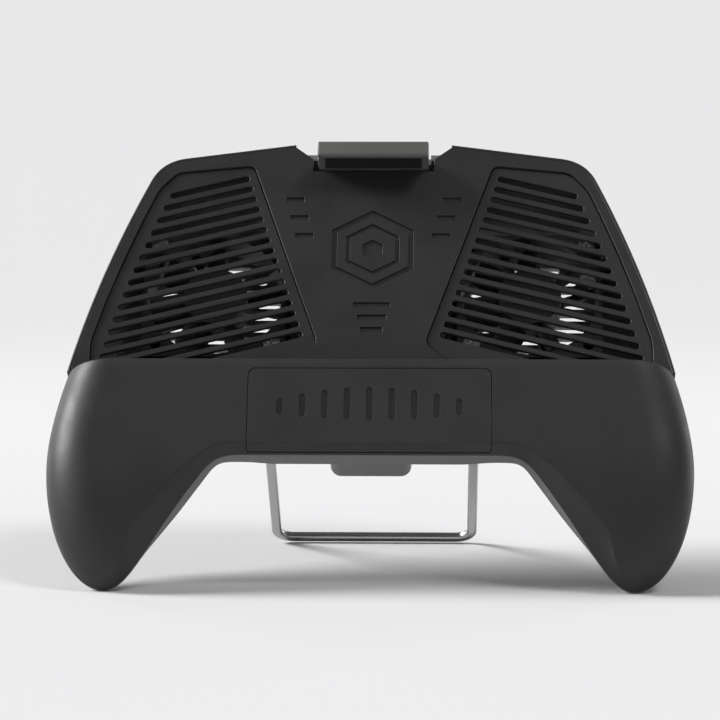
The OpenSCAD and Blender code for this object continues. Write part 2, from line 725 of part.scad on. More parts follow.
wall_y = phone_w + 0.1;
hook_top = phone_t + hook_lid;
tee_h = 3.5;
tongue_end = 12;
slot_x = boss_d / 2 + 0.4;
module clamp_slider() {
    color(trim_col) difference() {
        union() {
            translate([-hook_w / 2, 0, 0]) rotate([90, 0, 90]) linear_extrude(hook_w) polygon([
                [wall_y, tongue_low], [wall_y + hook_t, tongue_low], [wall_y + hook_t, hook_top - 0.8],
                [wall_y + hook_t - 0.8, hook_top], [wall_y - hook_reach + 0.5, hook_top],
                [wall_y - hook_reach, hook_top - 0.5], [wall_y - hook_reach, phone_t + 0.2],
                [wall_y - hook_reach + 0.3, phone_t], [wall_y, phone_t]]);
            translate([-tongue_w / 2, tongue_end, tongue_low]) cube([tongue_w, wall_y - tongue_end + 0.5, tongue_t]);
            translate([-tee_w / 2, tongue_end, tongue_low]) cube([tee_w, tee_h, tongue_t]);
        }
        translate([-slot_x, guide_boss[0] - clamp_travel - boss_d / 2 - 0.8, tongue_low - 1])
            cube([2 * slot_x, clamp_travel + boss_d + 1.6, tongue_t + 2]);
    }
}
pad_t = 0.8;
module clamp_pad() {
    color("#1c1c1c") translate([-hook_w / 2 + 2, wall_y - pad_t, 1]) cube([hook_w - 4, pad_t, phone_t - 1.6]);
}

guide_t = 1.4;
stop_y = 60;
stop_in = tongue_w / 2 + slide_gap;
module clamp_guide() {
    low = guide_boss[1] - 4;
    color("#1f1f20") difference() {
        union() {
            translate([-guide_in - guide_wall, low, guide_z - guide_t])
                cube([2 * guide_in + 2 * guide_wall, stop_y + 2 - low, guide_t]);
            both() translate([guide_in, low, guide_z - 0.5])
                cube([guide_wall, stop_y + 2 - low, -deck_t - touch - guide_z + 0.5]);
            both() translate([stop_in, stop_y, guide_z - 0.5])
                cube([guide_in - stop_in + 0.5, 2, -deck_t - touch - guide_z + 0.5]);
        }
        for (y = guide_boss) translate([0, y, guide_z - 5]) cylinder(d = small_d + 0.3, h = 10);
        translate([-8, 16, guide_z - 5]) cube([16, 24, 10]);
    }
}

spring_x = (stop_in + guide_in) / 2;
spring_z = (guide_z - deck_t) / 2;
spring_y0 = tongue_end + tee_h + touch;
spring_y1 = stop_y - touch;
spring_seg = 12;
spring_sides = 5;
// One unbroken coil from the tee to the stop
function coil_at(t) = let (
        a = 360 * spring_turns * t,
        r = (spring_d - spring_wire) / 2)
    [r * cos(a), mix(spring_y0 + spring_wire / 2, spring_y1 - spring_wire / 2, t), r * sin(a)];
module coil_spring() {
    n = spring_turns * spring_seg;
    m = spring_sides;
    pts = [for (k = [0:n]) let (
            a = 360 * spring_turns * k / n,
            c = coil_at(k / n),
            radial = [cos(a), 0, sin(a)])
        for (q = [0:m - 1]) c + spring_wire / 2 * (cos(360 * q / m) * radial + sin(360 * q / m) * [0, 1, 0])];
    faces = concat(
        [for (k = [0:n - 1]) for (q = [0:m - 1]) let (r = (q + 1) % m)
            each quad(k * m + q, (k + 1) * m + q, (k + 1) * m + r, k * m + r)],
        [[for (q = [0:m - 1]) q]], [[for (q = [m - 1:-1:0]) n * m + q]]);
    translate([spring_x, 0, spring_z]) polyhedron(pts, faces);
}
spring_gap = (spring_y1 - spring_y0 - spring_wire) / spring_turns - spring_wire;
echo(least_gap_between_spring_turns = spring_gap);
module clamp_springs() {
    color(steel_col) both() coil_spring();
}

// Stand

stand_th = 2.2;
leg_x = (stand_w - stand_bar) / 2;
low_corner = stand_th / 2 * lean_s + stand_bar / 2 * lean_c;
leg_len = pivot_z + (floor_drop + pivot_y * lean_s - low_corner) / lean_c;
bend_r = stand_r - stand_bar / 2;
module bar_shape() {
    b = 0.4;
    x = stand_bar / 2;
    y = stand_th / 2;
    polygon([[-x + b, -y], [x - b, -y], [x, -y + b], [x, y - b], [x - b, y], [-x + b, y], [-x, y - b], [-x, -y + b]]);
}
module stand_bail() {
    color(steel_col) translate([0, pivot_y, pivot_z]) {
        both() {
            translate([leg_x, 0, -leg_len + bend_r]) linear_extrude(leg_len - bend_r) bar_shape();
            translate([leg_x - stand_bar / 2, 0, 0]) rotate([0, 90, 0]) cylinder(d = stand_th, h = stand_bar);
            translate([leg_x, 0, 0]) rotate([0, 90, 0])
                cylinder(d = stand_pin_d, h = lug_x + lug_w - leg_x - 0.6);
            translate([leg_x - bend_r, 0, -leg_len + bend_r]) rotate([90, 0, 0])
                rotate_extrude(angle = 90, start = 270) translate([bend_r, 0]) bar_shape();
        }
        translate([-leg_x + bend_r, 0, -leg_len]) rotate([0, 90, 0])
            linear_extrude(2 * (leg_x - bend_r)) bar_shape();
    }
}
lug_r = back_z - pivot_z - touch;
module stand_bracket() {
    color("#3a3a3b") difference() {
        union() {
            translate([lug_x, pivot_y, pivot_z]) rotate([0, 90, 0]) cylinder(r = lug_r, h = lug_w);
            translate([lug_x, pivot_y - lug_r, pivot_z]) cube([lug_w, 2 * lug_r, back_z - touch - pivot_z]);
            translate([lug_x + lug_w - 0.5, pivot_y - lug_r, back_z - touch - 1.4])
                cube([bracket_foot + 0.5, 2 * lug_r, 1.4]);
        }
        translate([lug_x - 1, pivot_y, pivot_z]) rotate([0, 90, 0])
            cylinder(d = stand_pin_d + 2 * pin_gap, h = lug_w + 0.6);
        translate([bracket_screw.x, bracket_screw.y, back_z - 4]) cylinder(d = small_d + 0.3, h = 6);
    }
}
module right_stand_bracket() stand_bracket();
module left_stand_bracket() mirror([1, 0, 0]) stand_bracket();

// Fans, each drawn about its own axis with z = 0 at the frame's back face

base_t = 1.5;
tube_d = 6.5;
bush_d = 4;
bush_len = 5.8;
hub_wall = 1.2;
blade_r = fan_bore / 2 - fan_tip_gap;
blade_h = fan_t - 3.4;
module at_fan(side) {
    translate([side * fan_x, fan_y, fan_seat]) children();
}
module rounded_square(w, r) {
    square([w, w - 2 * r], center = true);
    square([w - 2 * r, w], center = true);
    for (sx = [-1, 1]) for (sy = [-1, 1]) translate([sx * (w / 2 - r), sy * (w / 2 - r)]) circle(r);
}
module fan_frame() {
    color("#222223") difference() {
        union() {
            difference() {
                linear_extrude(fan_t) rounded_square(fan_w, 3);
                translate([0, 0, -1]) cylinder(d = fan_bore, h = fan_t + 2);
            }
            cylinder(d = fan_hub_d, h = base_t);
            for (a = [20:90:290]) rotate(a) translate([0, -1.1, 0]) cube([fan_bore / 2 + 0.4, 2.2, base_t]);
            cylinder(d = tube_d, h = base_t + bush_len + 0.2);
        }
        for (sx = [-0.5, 0.5]) for (sy = [-0.5, 0.5]) translate([sx * fan_pitch, sy * fan_pitch, -1])
            cylinder(d = screw_d + 0.8, h = fan_t + 2);
        translate([0, 0, base_t]) cylinder(d = bush_d + 0.02, h = fan_t);
    }
}
module fan_bush() {
    color("#b08d57") translate([0, 0, base_t + touch]) difference() {
        cylinder(d = bush_d, h = bush_len);
        translate([0, 0, -1]) cylinder(d = fan_shaft_d + 2 * shaft_gap, h = bush_len + 2);
    }
}
module fan_coil() {
    coil_out = fan_hub_d / 2 - hub_wall - 0.6;
    color("#9a5a2c") translate([0, 0, base_t + touch]) difference() {
        union() {
            cylinder(d = tube_d + 2.4, h = 4.6);
            for (a = [0:90:270]) rotate(a) translate([0, -1.2, 0.6]) cube([coil_out - 0.6, 2.4, 3.4]);
            difference() {
                cylinder(r = coil_out, h = 4.6);
                translate([0, 0, -1]) cylinder(r = coil_out - 1, h = 7);
                for (a = [45:90:315]) rotate(a) translate([0, -0.8, -1]) cube([coil_out + 1, 1.6, 7]);
            }
        }
        translate([0, 0, -1]) cylinder(d = tube_d + 0.02, h = 8);
    }
}
module fan_rotor() {
    hub_r = fan_hub_d / 2;
    color("#2c2c2d") {
        difference() {
            translate([0, 0, base_t + 0.7]) cylinder(r = hub_r, h = fan_t - base_t - 1.1);
            translate([0, 0, base_t]) cylinder(r = hub_r - hub_wall, h = fan_t - base_t - 1.6);
        }
        translate([0, 0, base_t + 0.4]) cylinder(d = fan_shaft_d, h = fan_t - base_t - 1.2);
        for (k = [0:fan_blades - 1]) rotate(k * 360 / fan_blades) translate([0, 0, base_t + 0.9])
            intersection() {
                rotate(-14) translate([hub_r - 1, -0.45, blade_h / 2]) rotate([38, 0, 0])
                    translate([0, 0, -blade_h]) cube([blade_r, 0.9, 2 * blade_h]);
                cylinder(r = blade_r, h = blade_h);
            }
    }
}
module left_fan_frame() at_fan(-1) fan_frame();
module right_fan_frame() at_fan(1) fan_frame();
module left_fan_rotor() at_fan(-1) fan_rotor();
module right_fan_rotor() at_fan(1) fan_rotor();
module left_fan_bush() at_fan(-1) fan_bush();
module right_fan_bush() at_fan(1) fan_bush();
module left_fan_coil() at_fan(-1) fan_coil();
module right_fan_coil() at_fan(1) fan_coil();

// Power: battery, board, socket, switch, button and leads

module battery_pack() {
    color("#3f5f86") translate([-battery_w / 2, battery_y - battery_l, battery_z])
        cube([battery_w, battery_l, battery_t]);
}
chip_h = 1.2;
module control_board() {
    color("#1f5b3a") difference() {
        union() {
            translate([-board_w / 2, board_low, board_z]) cube([board_w, board_len, board_t]);
            translate([-4, 4, board_z - 3.4]) cube([8, 8, 3.5]);
            translate([1.5, 18, board_z - chip_h]) cube([6, 6, chip_h + 0.1]);
            translate([-8, 19, board_z - chip_h]) cube([6, 5, chip_h + 0.1]);
            for (sx = [-1, 1]) translate([sx * (board_w / 2 - 3.2) - 2.2, 13, board_z - 2.4]) cube([4.4, 4, 2.5]);
        }
        for (p = board_holes()) translate([p.x, p.y, board_z - 1]) cylinder(d = small_d + 0.4, h = 4);
    }
}
port_len = 7.4;
port_wall = 0.35;
module charging_port() {
    color(steel_col) translate([port_x, slope_y(port_z) + 0.2 + port_len, port_z]) difference() {
        stadium_y(port_w, port_h, port_len);
        translate([0, -1, 0]) stadium_y(port_w - 2 * port_wall, port_h - 2 * port_wall, port_len);
    }
}
switch_h = 2.4;
module power_switch() {
    color("#8b8d90") translate([button_pos.x, button_pos.y, board_z - touch - switch_h]) {
        translate([-3, -3, 0]) cube([6, 6, switch_h]);
        translate([0, 0, -0.5]) cylinder(d = 3, h = 1);
    }
}
module power_button() {
    stem_top = board_z - touch - switch_h - 0.5 - button_travel - 0.1;
    color("#4a4a4b") translate([button_pos.x, button_pos.y, 0]) {
        translate([0, 0, back_z - button_proud]) cylinder(d = button_d, h = rear_wall + button_proud + touch + 0.5);
        translate([0, 0, floor_in + touch]) cylinder(d = button_d + 2.4, h = 0.9);
        translate([0, 0, floor_in]) cylinder(d = 2.4, h = stem_top - floor_in);
    }
}
lead_d = 1.4;
lead_sides = 8;
lead_rings = 20;
// A round lead in one sweep: a and d are its ends, b and c pull it to the side
module lead(a, b, c, d) {
    m = lead_sides;
    n = lead_rings;
    path = [for (k = [0:n]) bez3(a, b, c, d, k / n)];
    pts = [for (k = [0:n]) let (
            t = unit(path[min(n, k + 1)] - path[max(0, k - 1)]),
            u = unit(cross(t, [0.3, 0.2, 1])),
            v = cross(t, u))
        for (q = [0:m - 1]) path[k] + lead_d / 2 * (cos(360 * q / m) * u + sin(360 * q / m) * v)];
    faces = concat(
        [for (k = [0:n - 1]) for (q = [0:m - 1]) let (r = (q + 1) % m)
            each quad(k * m + q, k * m + r, (k + 1) * m + r, (k + 1) * m + q)],
        [[for (q = [m - 1:-1:0]) q]], [[for (q = [0:m - 1]) n * m + q]]);
    polyhedron(pts, faces);
}
module fan_lead() {
    z = board_z - 1.2;
    x0 = board_w / 2 - 1 + touch;
    x1 = fan_x - fan_w / 2 - touch;
    xm = (x0 + x1) / 2;
    color("#a03028") lead([x0, 15, z], [xm, 15, z], [xm, 17, z], [x1, 17, z]);
}
module right_fan_lead() fan_lead();
module left_fan_lead() mirror([1, 0, 0]) fan_lead();
module battery_lead() {
    x = battery_w / 2 - 18;
    y = battery_y - 6;
    z0 = battery_z - touch;
    z1 = board_z + board_t + touch;
    color("#a03028") lead([x, y, z0], [x, y, z0 - 1.5], [x - 2, y, z1 + 1.5], [x - 2, y, z1]);
}

// Screws

module case_screws() {
    color(steel_col) both() for (p = [[deck_post.x, deck_post.y, back_z], [bar_post.x, bar_post.y, back_z], grip_post])
        translate(p + [0, 0, -touch]) screw(screw_d - 0.1, screw_head_d, screw_head_h, screw_len);
}
module fan_screws() {
    color(steel_col) both() for (p = fan_screw_spots()) translate([p.x, p.y, fan_seat + fan_t + touch + screw_head_h])
        mirror([0, 0, 1]) screw(screw_d, screw_head_d, screw_head_h, fan_t + 1.6);
}
module guide_screws() {
    color(steel_col) for (y = guide_boss) translate([0, y, guide_z - guide_t - touch - small_head_h])
        screw(small_d - 0.1, small_head_d, small_head_h, small_len);
}
module board_screws() {
    color(steel_col) for (p = board_holes()) translate([p.x, p.y, board_z + board_t + touch + small_head_h])
        mirror([0, 0, 1]) screw(small_d, small_head_d, small_head_h, small_len);
}
module bracket_screws() {
    color(steel_col) both() translate([bracket_screw.x, bracket_screw.y, back_z - touch - 1.4 - touch - small_head_h])
        screw(small_d, small_head_d, small_head_h, small_len);
}

stance() front_shell();
stance() rear_shell();
stance() deck_cover();
stance() front_panel();
stance() left_vent_grille();
stance() right_vent_grille();
stance() clamp_slider();
stance() clamp_pad();
stance() clamp_guide();
stance() clamp_springs();
stance() stand_bail();
stance() left_stand_bracket();
stance() right_stand_bracket();
stance() left_fan_frame();
stance() right_fan_frame();
stance() left_fan_rotor();
stance() right_fan_rotor();
stance() left_fan_bush();
stance() right_fan_bush();
stance() left_fan_coil();
stance() right_fan_coil();
stance() battery_pack();
stance() control_board();
stance() charging_port();
stance() power_switch();
stance() power_button();
stance() battery_lead();
stance() left_fan_lead();
stance() right_fan_lead();
stance() case_screws();
stance() fan_screws();
stance() guide_screws();
stance() board_screws();
stance() bracket_screws();
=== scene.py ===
# %% [markdown]
# # A hand grip with cooling fans, a clamp and a stand
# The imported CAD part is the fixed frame: every piece here lies where its solid lies and moves with the
# same body. The moulded shells, the deck, the hook and the wire stand are built again as fine surfaces,
# because light runs over them in long soft gradients that a coarse mesh would break.

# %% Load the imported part
import json
import math

import bmesh
import bpy
import numpy as np
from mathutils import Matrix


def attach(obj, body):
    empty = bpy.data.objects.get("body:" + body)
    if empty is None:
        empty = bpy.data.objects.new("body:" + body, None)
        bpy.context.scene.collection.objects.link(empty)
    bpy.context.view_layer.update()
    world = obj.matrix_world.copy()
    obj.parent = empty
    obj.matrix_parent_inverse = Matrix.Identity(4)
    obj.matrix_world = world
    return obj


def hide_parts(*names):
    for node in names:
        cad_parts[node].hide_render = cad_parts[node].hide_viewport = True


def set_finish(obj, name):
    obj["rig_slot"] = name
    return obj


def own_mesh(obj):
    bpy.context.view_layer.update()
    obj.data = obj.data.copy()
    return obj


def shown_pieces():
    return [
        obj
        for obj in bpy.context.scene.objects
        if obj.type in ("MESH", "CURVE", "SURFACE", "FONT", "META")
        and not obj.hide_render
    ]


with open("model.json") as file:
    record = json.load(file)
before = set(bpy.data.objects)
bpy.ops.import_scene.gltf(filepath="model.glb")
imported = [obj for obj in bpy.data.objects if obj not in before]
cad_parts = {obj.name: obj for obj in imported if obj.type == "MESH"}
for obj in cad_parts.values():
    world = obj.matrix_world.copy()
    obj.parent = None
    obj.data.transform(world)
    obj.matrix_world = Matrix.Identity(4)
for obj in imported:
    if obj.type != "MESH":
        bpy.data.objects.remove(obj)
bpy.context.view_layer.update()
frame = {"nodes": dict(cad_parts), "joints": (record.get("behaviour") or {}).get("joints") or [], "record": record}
scene = bpy.context.scene

# %% [markdown]
# ## Two frames
# The grip is easiest to draw flat: x along the lip, y up the deck from the lip, z out of the deck, in
# millimetres. One turn by the deck's lean and one shift then stand it on the floor. Neither is typed in:
# the clamp slides along the deck, so its axis gives the lean, and the stand's hinge has a known place in
# both frames.

# %% From the deck's frame to the world
joints = {j["name"]: j for j in frame["joints"]}
slide, pins = joints["clamp_slide"], joints["stand_fold"]["pos_m"]
LEAN = math.atan2(slide["axis"][2], slide["axis"][1])
COS_LEAN, SIN_LEAN = math.cos(LEAN), math.sin(LEAN)
HINGE_Y, HINGE_Z = -9.5, -22.3
SHIFT_Y = 1000 * pins[1] - (HINGE_Y * COS_LEAN - HINGE_Z * SIN_LEAN)
SHIFT_Z = 1000 * pins[2] - (HINGE_Y * SIN_LEAN + HINGE_Z * COS_LEAN)


def stand_up(deck):
    """Deck millimetres to world metres: turn by the lean about x, then shift, then divide by 1000."""
    x, y, z = np.moveaxis(np.asarray(deck, float), -1, 0)
    turned = (x, y * COS_LEAN - z * SIN_LEAN + SHIFT_Y, y * SIN_LEAN + z * COS_LEAN + SHIFT_Z)
    return np.stack(turned, -1) / 1000


print("deck leans by", round(math.degrees(LEAN), 2), "degrees and is shifted by",
      round(SHIFT_Y, 2), round(SHIFT_Z, 2), "mm")

# %% [markdown]
# ## From grids to pieces
# A surface is a grid of points, and its faces join each point to its neighbours. One helper makes the
# faces for any grid, one puts points and faces into a mesh, and one hangs the mesh on its CAD body.

# %% Grids and pieces


def grid_faces(rows, cols, wrap_rows=False, wrap_cols=False):
    """Quads between neighbours of a rows by cols grid; a wrapped side joins its last line to its first."""
    r = np.arange(rows if wrap_rows else rows - 1)[:, None]
    c = np.arange(cols if wrap_cols else cols - 1)[None, :]
    r2, c2 = (r + 1) % rows, (c + 1) % cols
    return np.stack([r * cols + c, r * cols + c2, r2 * cols + c2, r2 * cols + c], -1).reshape(-1, 4)


def make_mesh(name, parts):
    """One mesh of several parts: points in deck millimetres, and faces that count from 0 in each part."""
    points, faces, start = [], [], 0
    for part_points, part_faces in parts:
        flat = stand_up(part_points).reshape(-1, 3)
        points.append(flat)
        faces += [[start + int(i) for i in f] for f in part_faces]
        start += len(flat)
    mesh = bpy.data.meshes.new(name)
    mesh.from_pydata(np.concatenate(points).tolist(), [], faces)
    mesh.validate()
    mesh.update()
    return mesh


def weld(mesh, reach=1e-6):
    """Joins points closer than reach, so that parts of one mesh share their edges."""
    work = bmesh.new()
    work.from_mesh(mesh)
    bmesh.ops.remove_doubles(work, verts=work.verts, dist=reach)
    work.to_mesh(mesh)
    work.free()


def face_outwards(mesh):
    """Turns all faces of closed shapes outwards."""
    work = bmesh.new()
    work.from_mesh(mesh)
    bmesh.ops.recalc_face_normals(work, faces=work.faces)
    work.to_mesh(mesh)
    work.free()


def add_piece(name, mesh, body, slot, replaces, crease=35):
    """Adds the mesh as an object at the origin, smooth but for edges sharper than crease degrees."""
    obj = bpy.data.objects.new(name, mesh)
    scene.collection.objects.link(obj)
    mesh.polygons.foreach_set("use_smooth", np.ones(len(mesh.polygons), bool))
    mesh.set_sharp_from_angle(angle=math.radians(crease))
    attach(obj, body)
    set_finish(obj, slot)
    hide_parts(*replaces)
    print(name, len(mesh.polygons), "faces")
    return obj


def thicken(obj, wall, edge):
    """Gives an open skin a wall on its inner side and rounds the wall's edges, both in millimetres."""
    solid = obj.modifiers.new("wall", "SOLIDIFY")
    solid.thickness = wall / 1000
    solid.offset = -1
    solid.use_quality_normals = True
    soft = obj.modifiers.new("edge", "BEVEL")
    soft.width = edge / 1000
    soft.segments = 2
    soft.limit_method = "ANGLE"
    soft.angle_limit = math.radians(50)


# %% [markdown]
# ## Curves
# The housing is drawn from a few Bezier curves, as a designer draws it from splines: the seam round the
# outside of a handle, the seam along its inner edge, and the ridge down its back. Blender's curve objects
# could hold them too, but as functions they give a point for any parameter, and the surfaces below need
# many.

# %% Bezier curves


def bez2(a, b, c, t):
    """Quadratic Bezier curve: two blends of neighbouring points, blended once more."""
    a, b, c, t = (np.asarray(v, float) for v in (a, b, c, t))
    t = t[..., None]
    return a * (1 - t) ** 2 + 2 * b * t * (1 - t) + c * t ** 2


def bez3(a, b, c, d, t):
    """Cubic Bezier curve through a and d, pulled towards b and c."""
    t = np.asarray(t, float)
    u = t[..., None]
    return bez2(a, b, c, t) * (1 - u) + bez2(b, c, d, t) * u


def smooth_step(t, start=0.0, over=1.0):
    """0 up to t = start, 1 from t = start + over, and an even rise u * u * (3 - 2 u) between them."""
    u = np.clip((t - start) / over, 0, 1)
    return u * u * (3 - 2 * u)


def left_of(points):
    """Unit vectors in the xy plane, a quarter turn left of the direction in which the points run."""
    run = np.gradient(points, axis=0)
    side = np.stack([-run[:, 1], run[:, 0]], -1)
    return side / np.maximum(np.linalg.norm(side, axis=1, keepdims=True), 1e-9)


# %% Seam of the handles
LIP_X, GRIP_X, SEAM_Z = 82.5, 86.8, -5.0
SWELL_Y, GRIP_DROP, TIP_X, TIP_Z = 26.0, 60.2, 70.0, -12.0
NECK_DIP, SWELL_DIP, LIMB_DIP = 0.5, 1.5, 4.0
NECK_PULLS, SWELL_PULL, TIP_WIDE = (0.3, 0.7), 0.53, 0.54
LIP_CORNER = np.array([LIP_X, 0, SEAM_Z])
SWELL = np.array([GRIP_X, -SWELL_Y, SEAM_Z - SWELL_DIP])
TIP = np.array([TIP_X, -GRIP_DROP, TIP_Z])
BAR_FLAT, BAR_H, BAR_SEAM = 34.0, 27.2, 2.7
ELBOW = np.array([BAR_FLAT + 13.1, -BAR_H - 8.2, 0.46])
ELBOW_RUN = np.array([0.77, -1.09, -0.2])
ELBOW_AT, ELBOW_IN, ELBOW_OUT = 0.4, 6, 16
BAR_PULL, TIP_PULL = [7, 0, 0], [-6.6, 0.45, 0]
SEAM_STEPS = 400


def outer_seam(s):
    """Two cubics, from the lip's corner out to the widest point and on round to the tip."""
    s = np.asarray(s, float)
    upper = bez3(LIP_CORNER, [(LIP_X + GRIP_X) / 2, -NECK_PULLS[0] * SWELL_Y, SEAM_Z],
                 [GRIP_X, -NECK_PULLS[1] * SWELL_Y, SEAM_Z - NECK_DIP], SWELL, 2 * s)
    lower = bez3(SWELL, [GRIP_X, -SWELL_Y - SWELL_PULL * (GRIP_DROP - SWELL_Y), SEAM_Z - LIMB_DIP],
                 [TIP_X + TIP_WIDE * (GRIP_X - TIP_X), -GRIP_DROP, TIP_Z], TIP, 2 * s - 1)
    return np.where((s < 0.5)[:, None], upper, lower)


def inner_seam(g):
    """Two cubics, from the straight bar round the elbow and on down to the tip."""
    g = np.asarray(g, float)
    start = np.array([BAR_FLAT, -BAR_H, BAR_SEAM])
    bend = bez3(start, start + BAR_PULL, ELBOW - ELBOW_IN * ELBOW_RUN, ELBOW, g / ELBOW_AT)
    limb = bez3(ELBOW, ELBOW + ELBOW_OUT * ELBOW_RUN, TIP + TIP_PULL, TIP, (g - ELBOW_AT) / (1 - ELBOW_AT))
    return np.where((g < ELBOW_AT)[:, None], bend, limb)


seam_table = outer_seam(np.linspace(0, 1, SEAM_STEPS))
print("handles reach x =", seam_table[:, 0].max().round(1), "mm, tips at y =", TIP[1], "mm")

# %% [markdown]
# ## Front shell
# The front of the housing is one moulding: a lip, a gently falling face, a wide round shoulder outside
# each handle and a bevel along the inner edge. It could be sculpted from subdivided boxes, but a loft
# keeps the seam exact: each row of the grid starts at the lip and runs out to the seam, and its height is
# a formula of where it is.

# %% Height of the front
LIP_H, LIP_EDGE, LIP_ROOT = 7.5, 0.5, -4.0
SHOULDER_W, BEVEL_W, BEVEL_GROW = 13.0, 2.4, 3.4
CREASE_SOFT = 0.09
FACE_TOP, FACE_FALL, DROOP_FROM, FACE_DROOP = -2, 0.11, -25, 0.0063


def face_height(y):
    """A straight fall from the lip, and a droop that grows with the square of the way below the bar."""
    return LIP_H + FACE_FALL * np.minimum(0, y - FACE_TOP) - FACE_DROOP * np.maximum(0, DROOP_FROM - y) ** 2


def front_height(x, y):
    """The face, rounded over on a quarter ellipse where it nears the outer seam."""
    edge_x = np.interp(-y, -seam_table[:, 1], seam_table[:, 0])
    edge_z = np.interp(-y, -seam_table[:, 1], seam_table[:, 2])
    near = np.clip(1 - (edge_x - x) / SHOULDER_W, 0, 1)
    over = 1 - np.sqrt(1 - near ** 2)
    return face_height(y) - (face_height(y) - edge_z) * over


def soft_min(a, b, k):
    """The lower of a and b, with the corner between them rounded over about k."""
    low = np.minimum(a, b)
    return low - k * np.log(np.exp((low - a) / k) + np.exp((low - b) / k))


print("face", LIP_H, "mm above the deck at the lip,", face_height(TIP[1]).round(1), "mm at the tips")

# %% Rows of the front, from the lip to the seam
LIP_TIP_X, LIP_PACE, LIP_STOP = LIP_X - 17, 0.8, 0.9
TIP_SHARE, SHARE_FALL, SHOULDER_OVER = 0.95, 0.15, 0.25
BEVEL_RISE, TIP_RISE = (0.2, 0.38), (0.6, 0.3)
N_INNER, N_OUTER = 150, 110
FACE_RUN = np.linspace(0, 1, 40) ** 0.9
BEVEL_RUN = 1 - (1 - np.linspace(0, 1, 13)[1:]) ** 1.6
LIP_ROUND = np.linspace(0, 90, 6)[:-1]


def bevel_width(g):
    """The bevel's width in plan: it grows round the elbow."""
    return BEVEL_W + BEVEL_GROW * smooth_step(g, *BEVEL_RISE)


def lofted_rows(ax, crease, seam, fade):
    """Rows of the skin: up the lip's inner wall and over its rounded edge, down the face to the crease and
    over the bevel to the seam. A row's height is the lower of the face and a slope that rises from the seam;
    where fade nears 1 the slope is so steep that only the rounded shoulder is left."""
    start = np.stack([ax, np.full_like(ax, -LIP_EDGE)], -1)
    down = start[:, None] + (crease - start)[:, None] * FACE_RUN[:, None]
    out = crease[:, None] + (seam[:, :2] - crease)[:, None] * BEVEL_RUN[:, None]
    plan = np.concatenate([down, out], 1)
    band = np.linalg.norm(seam[:, :2] - crease, axis=1)
    face = np.linalg.norm(crease - start, axis=1)
    way = np.concatenate([band[:, None] + face[:, None] * (1 - FACE_RUN), band[:, None] * (1 - BEVEL_RUN)], 1)
    top = front_height(crease[:, 0], crease[:, 1])
    slope = (top - seam[:, 2]) / band / np.maximum(1e-3, 1 - fade)
    face_z = front_height(plan[..., 0], plan[..., 1])
    height = soft_min(face_z, seam[:, 2:] + slope[:, None] * way, CREASE_SOFT)
    height[:, -1] = seam[:, 2]
    skin = np.concatenate([plan, height[..., None]], -1)
    brow = height[:, 0]
    angle = np.radians(LIP_ROUND)
    round_y = np.broadcast_to(-LIP_EDGE * (1 - np.cos(angle)), (len(ax), len(angle)))
    round_z = brow[:, None] - LIP_EDGE * (1 - np.sin(angle))
    wall_z = LIP_ROOT + (brow[:, None] - LIP_EDGE - LIP_ROOT) * np.array([0, 0.5])
    lip_y = np.concatenate([np.zeros_like(wall_z), round_y], 1)
    lip_z = np.concatenate([wall_z, round_z], 1)
    lip = np.stack([np.broadcast_to(ax[:, None], lip_y.shape), lip_y, lip_z], -1)
    return np.concatenate([lip, skin], 1)


g = np.linspace(0, 1, N_INNER)
inner = inner_seam(g)
inner_ax = BAR_FLAT + (LIP_TIP_X - BAR_FLAT) * g ** LIP_PACE
s = np.linspace(0, 1, N_OUTER)[1:]
outer = outer_seam(1 - s)
outer_ax = LIP_TIP_X + (LIP_X - LIP_STOP - LIP_TIP_X) * np.sin(np.radians(90 * s))


def share_crease(ax, seam, share):
    """A crease a given share of the way from the lip to the seam."""
    share = np.broadcast_to(share, len(ax))[:, None]
    return np.stack([ax, np.full_like(ax, -LIP_EDGE)], -1) * (1 - share) + seam[:, :2] * share


to_tip = smooth_step(g, *TIP_RISE)[:, None]
inner_crease = (inner[:, :2] + bevel_width(g)[:, None] * left_of(inner)) * (1 - to_tip)
inner_crease = inner_crease + share_crease(inner_ax, inner, TIP_SHARE) * to_tip
inner_rows = lofted_rows(inner_ax, inner_crease, inner, np.zeros(N_INNER))
outer_crease = share_crease(outer_ax, outer, TIP_SHARE - SHARE_FALL * s)
outer_rows = lofted_rows(outer_ax, outer_crease, outer, np.minimum(1, s / SHOULDER_OVER))
print("front rows", inner_rows.shape, outer_rows.shape)

# %% [markdown]
# The middle of the bar is straight, so its rows are copies of the first one. The front panel sits in a
# window there with round corners. A Boolean could cut it, but would break the even rows. So the skin
# beside the window, the strip above it and the thin sill below it are grids that share points along the
# window's sides, and welding makes them one.

# %% Window for the panel
PANEL_HALF, PANEL_TOP, PANEL_GAP, PANEL_ROUND = 32.5, 3.2, 0.2, 2.0
WINDOW_X, WINDOW_Y = PANEL_HALF + PANEL_GAP, -PANEL_TOP + PANEL_GAP
SIDE_STEPS, STRIP_STEPS, SILL_STEPS = 4, 61, 81
CORNER_ROW, SILL_ROW = 3, 7


def corner_in(x, half, r):
    """How far a window's round corners draw its edge in at x: r less the height of a circle of radius r."""
    into = np.clip(np.abs(x) - (half - r), 0, r)
    return r - np.sqrt(r ** 2 - into ** 2)


def across_window(steps):
    """Places from one side of the window to the other, closer together towards the corners."""
    return WINDOW_X * np.sin(np.linspace(-math.pi / 2, math.pi / 2, steps))


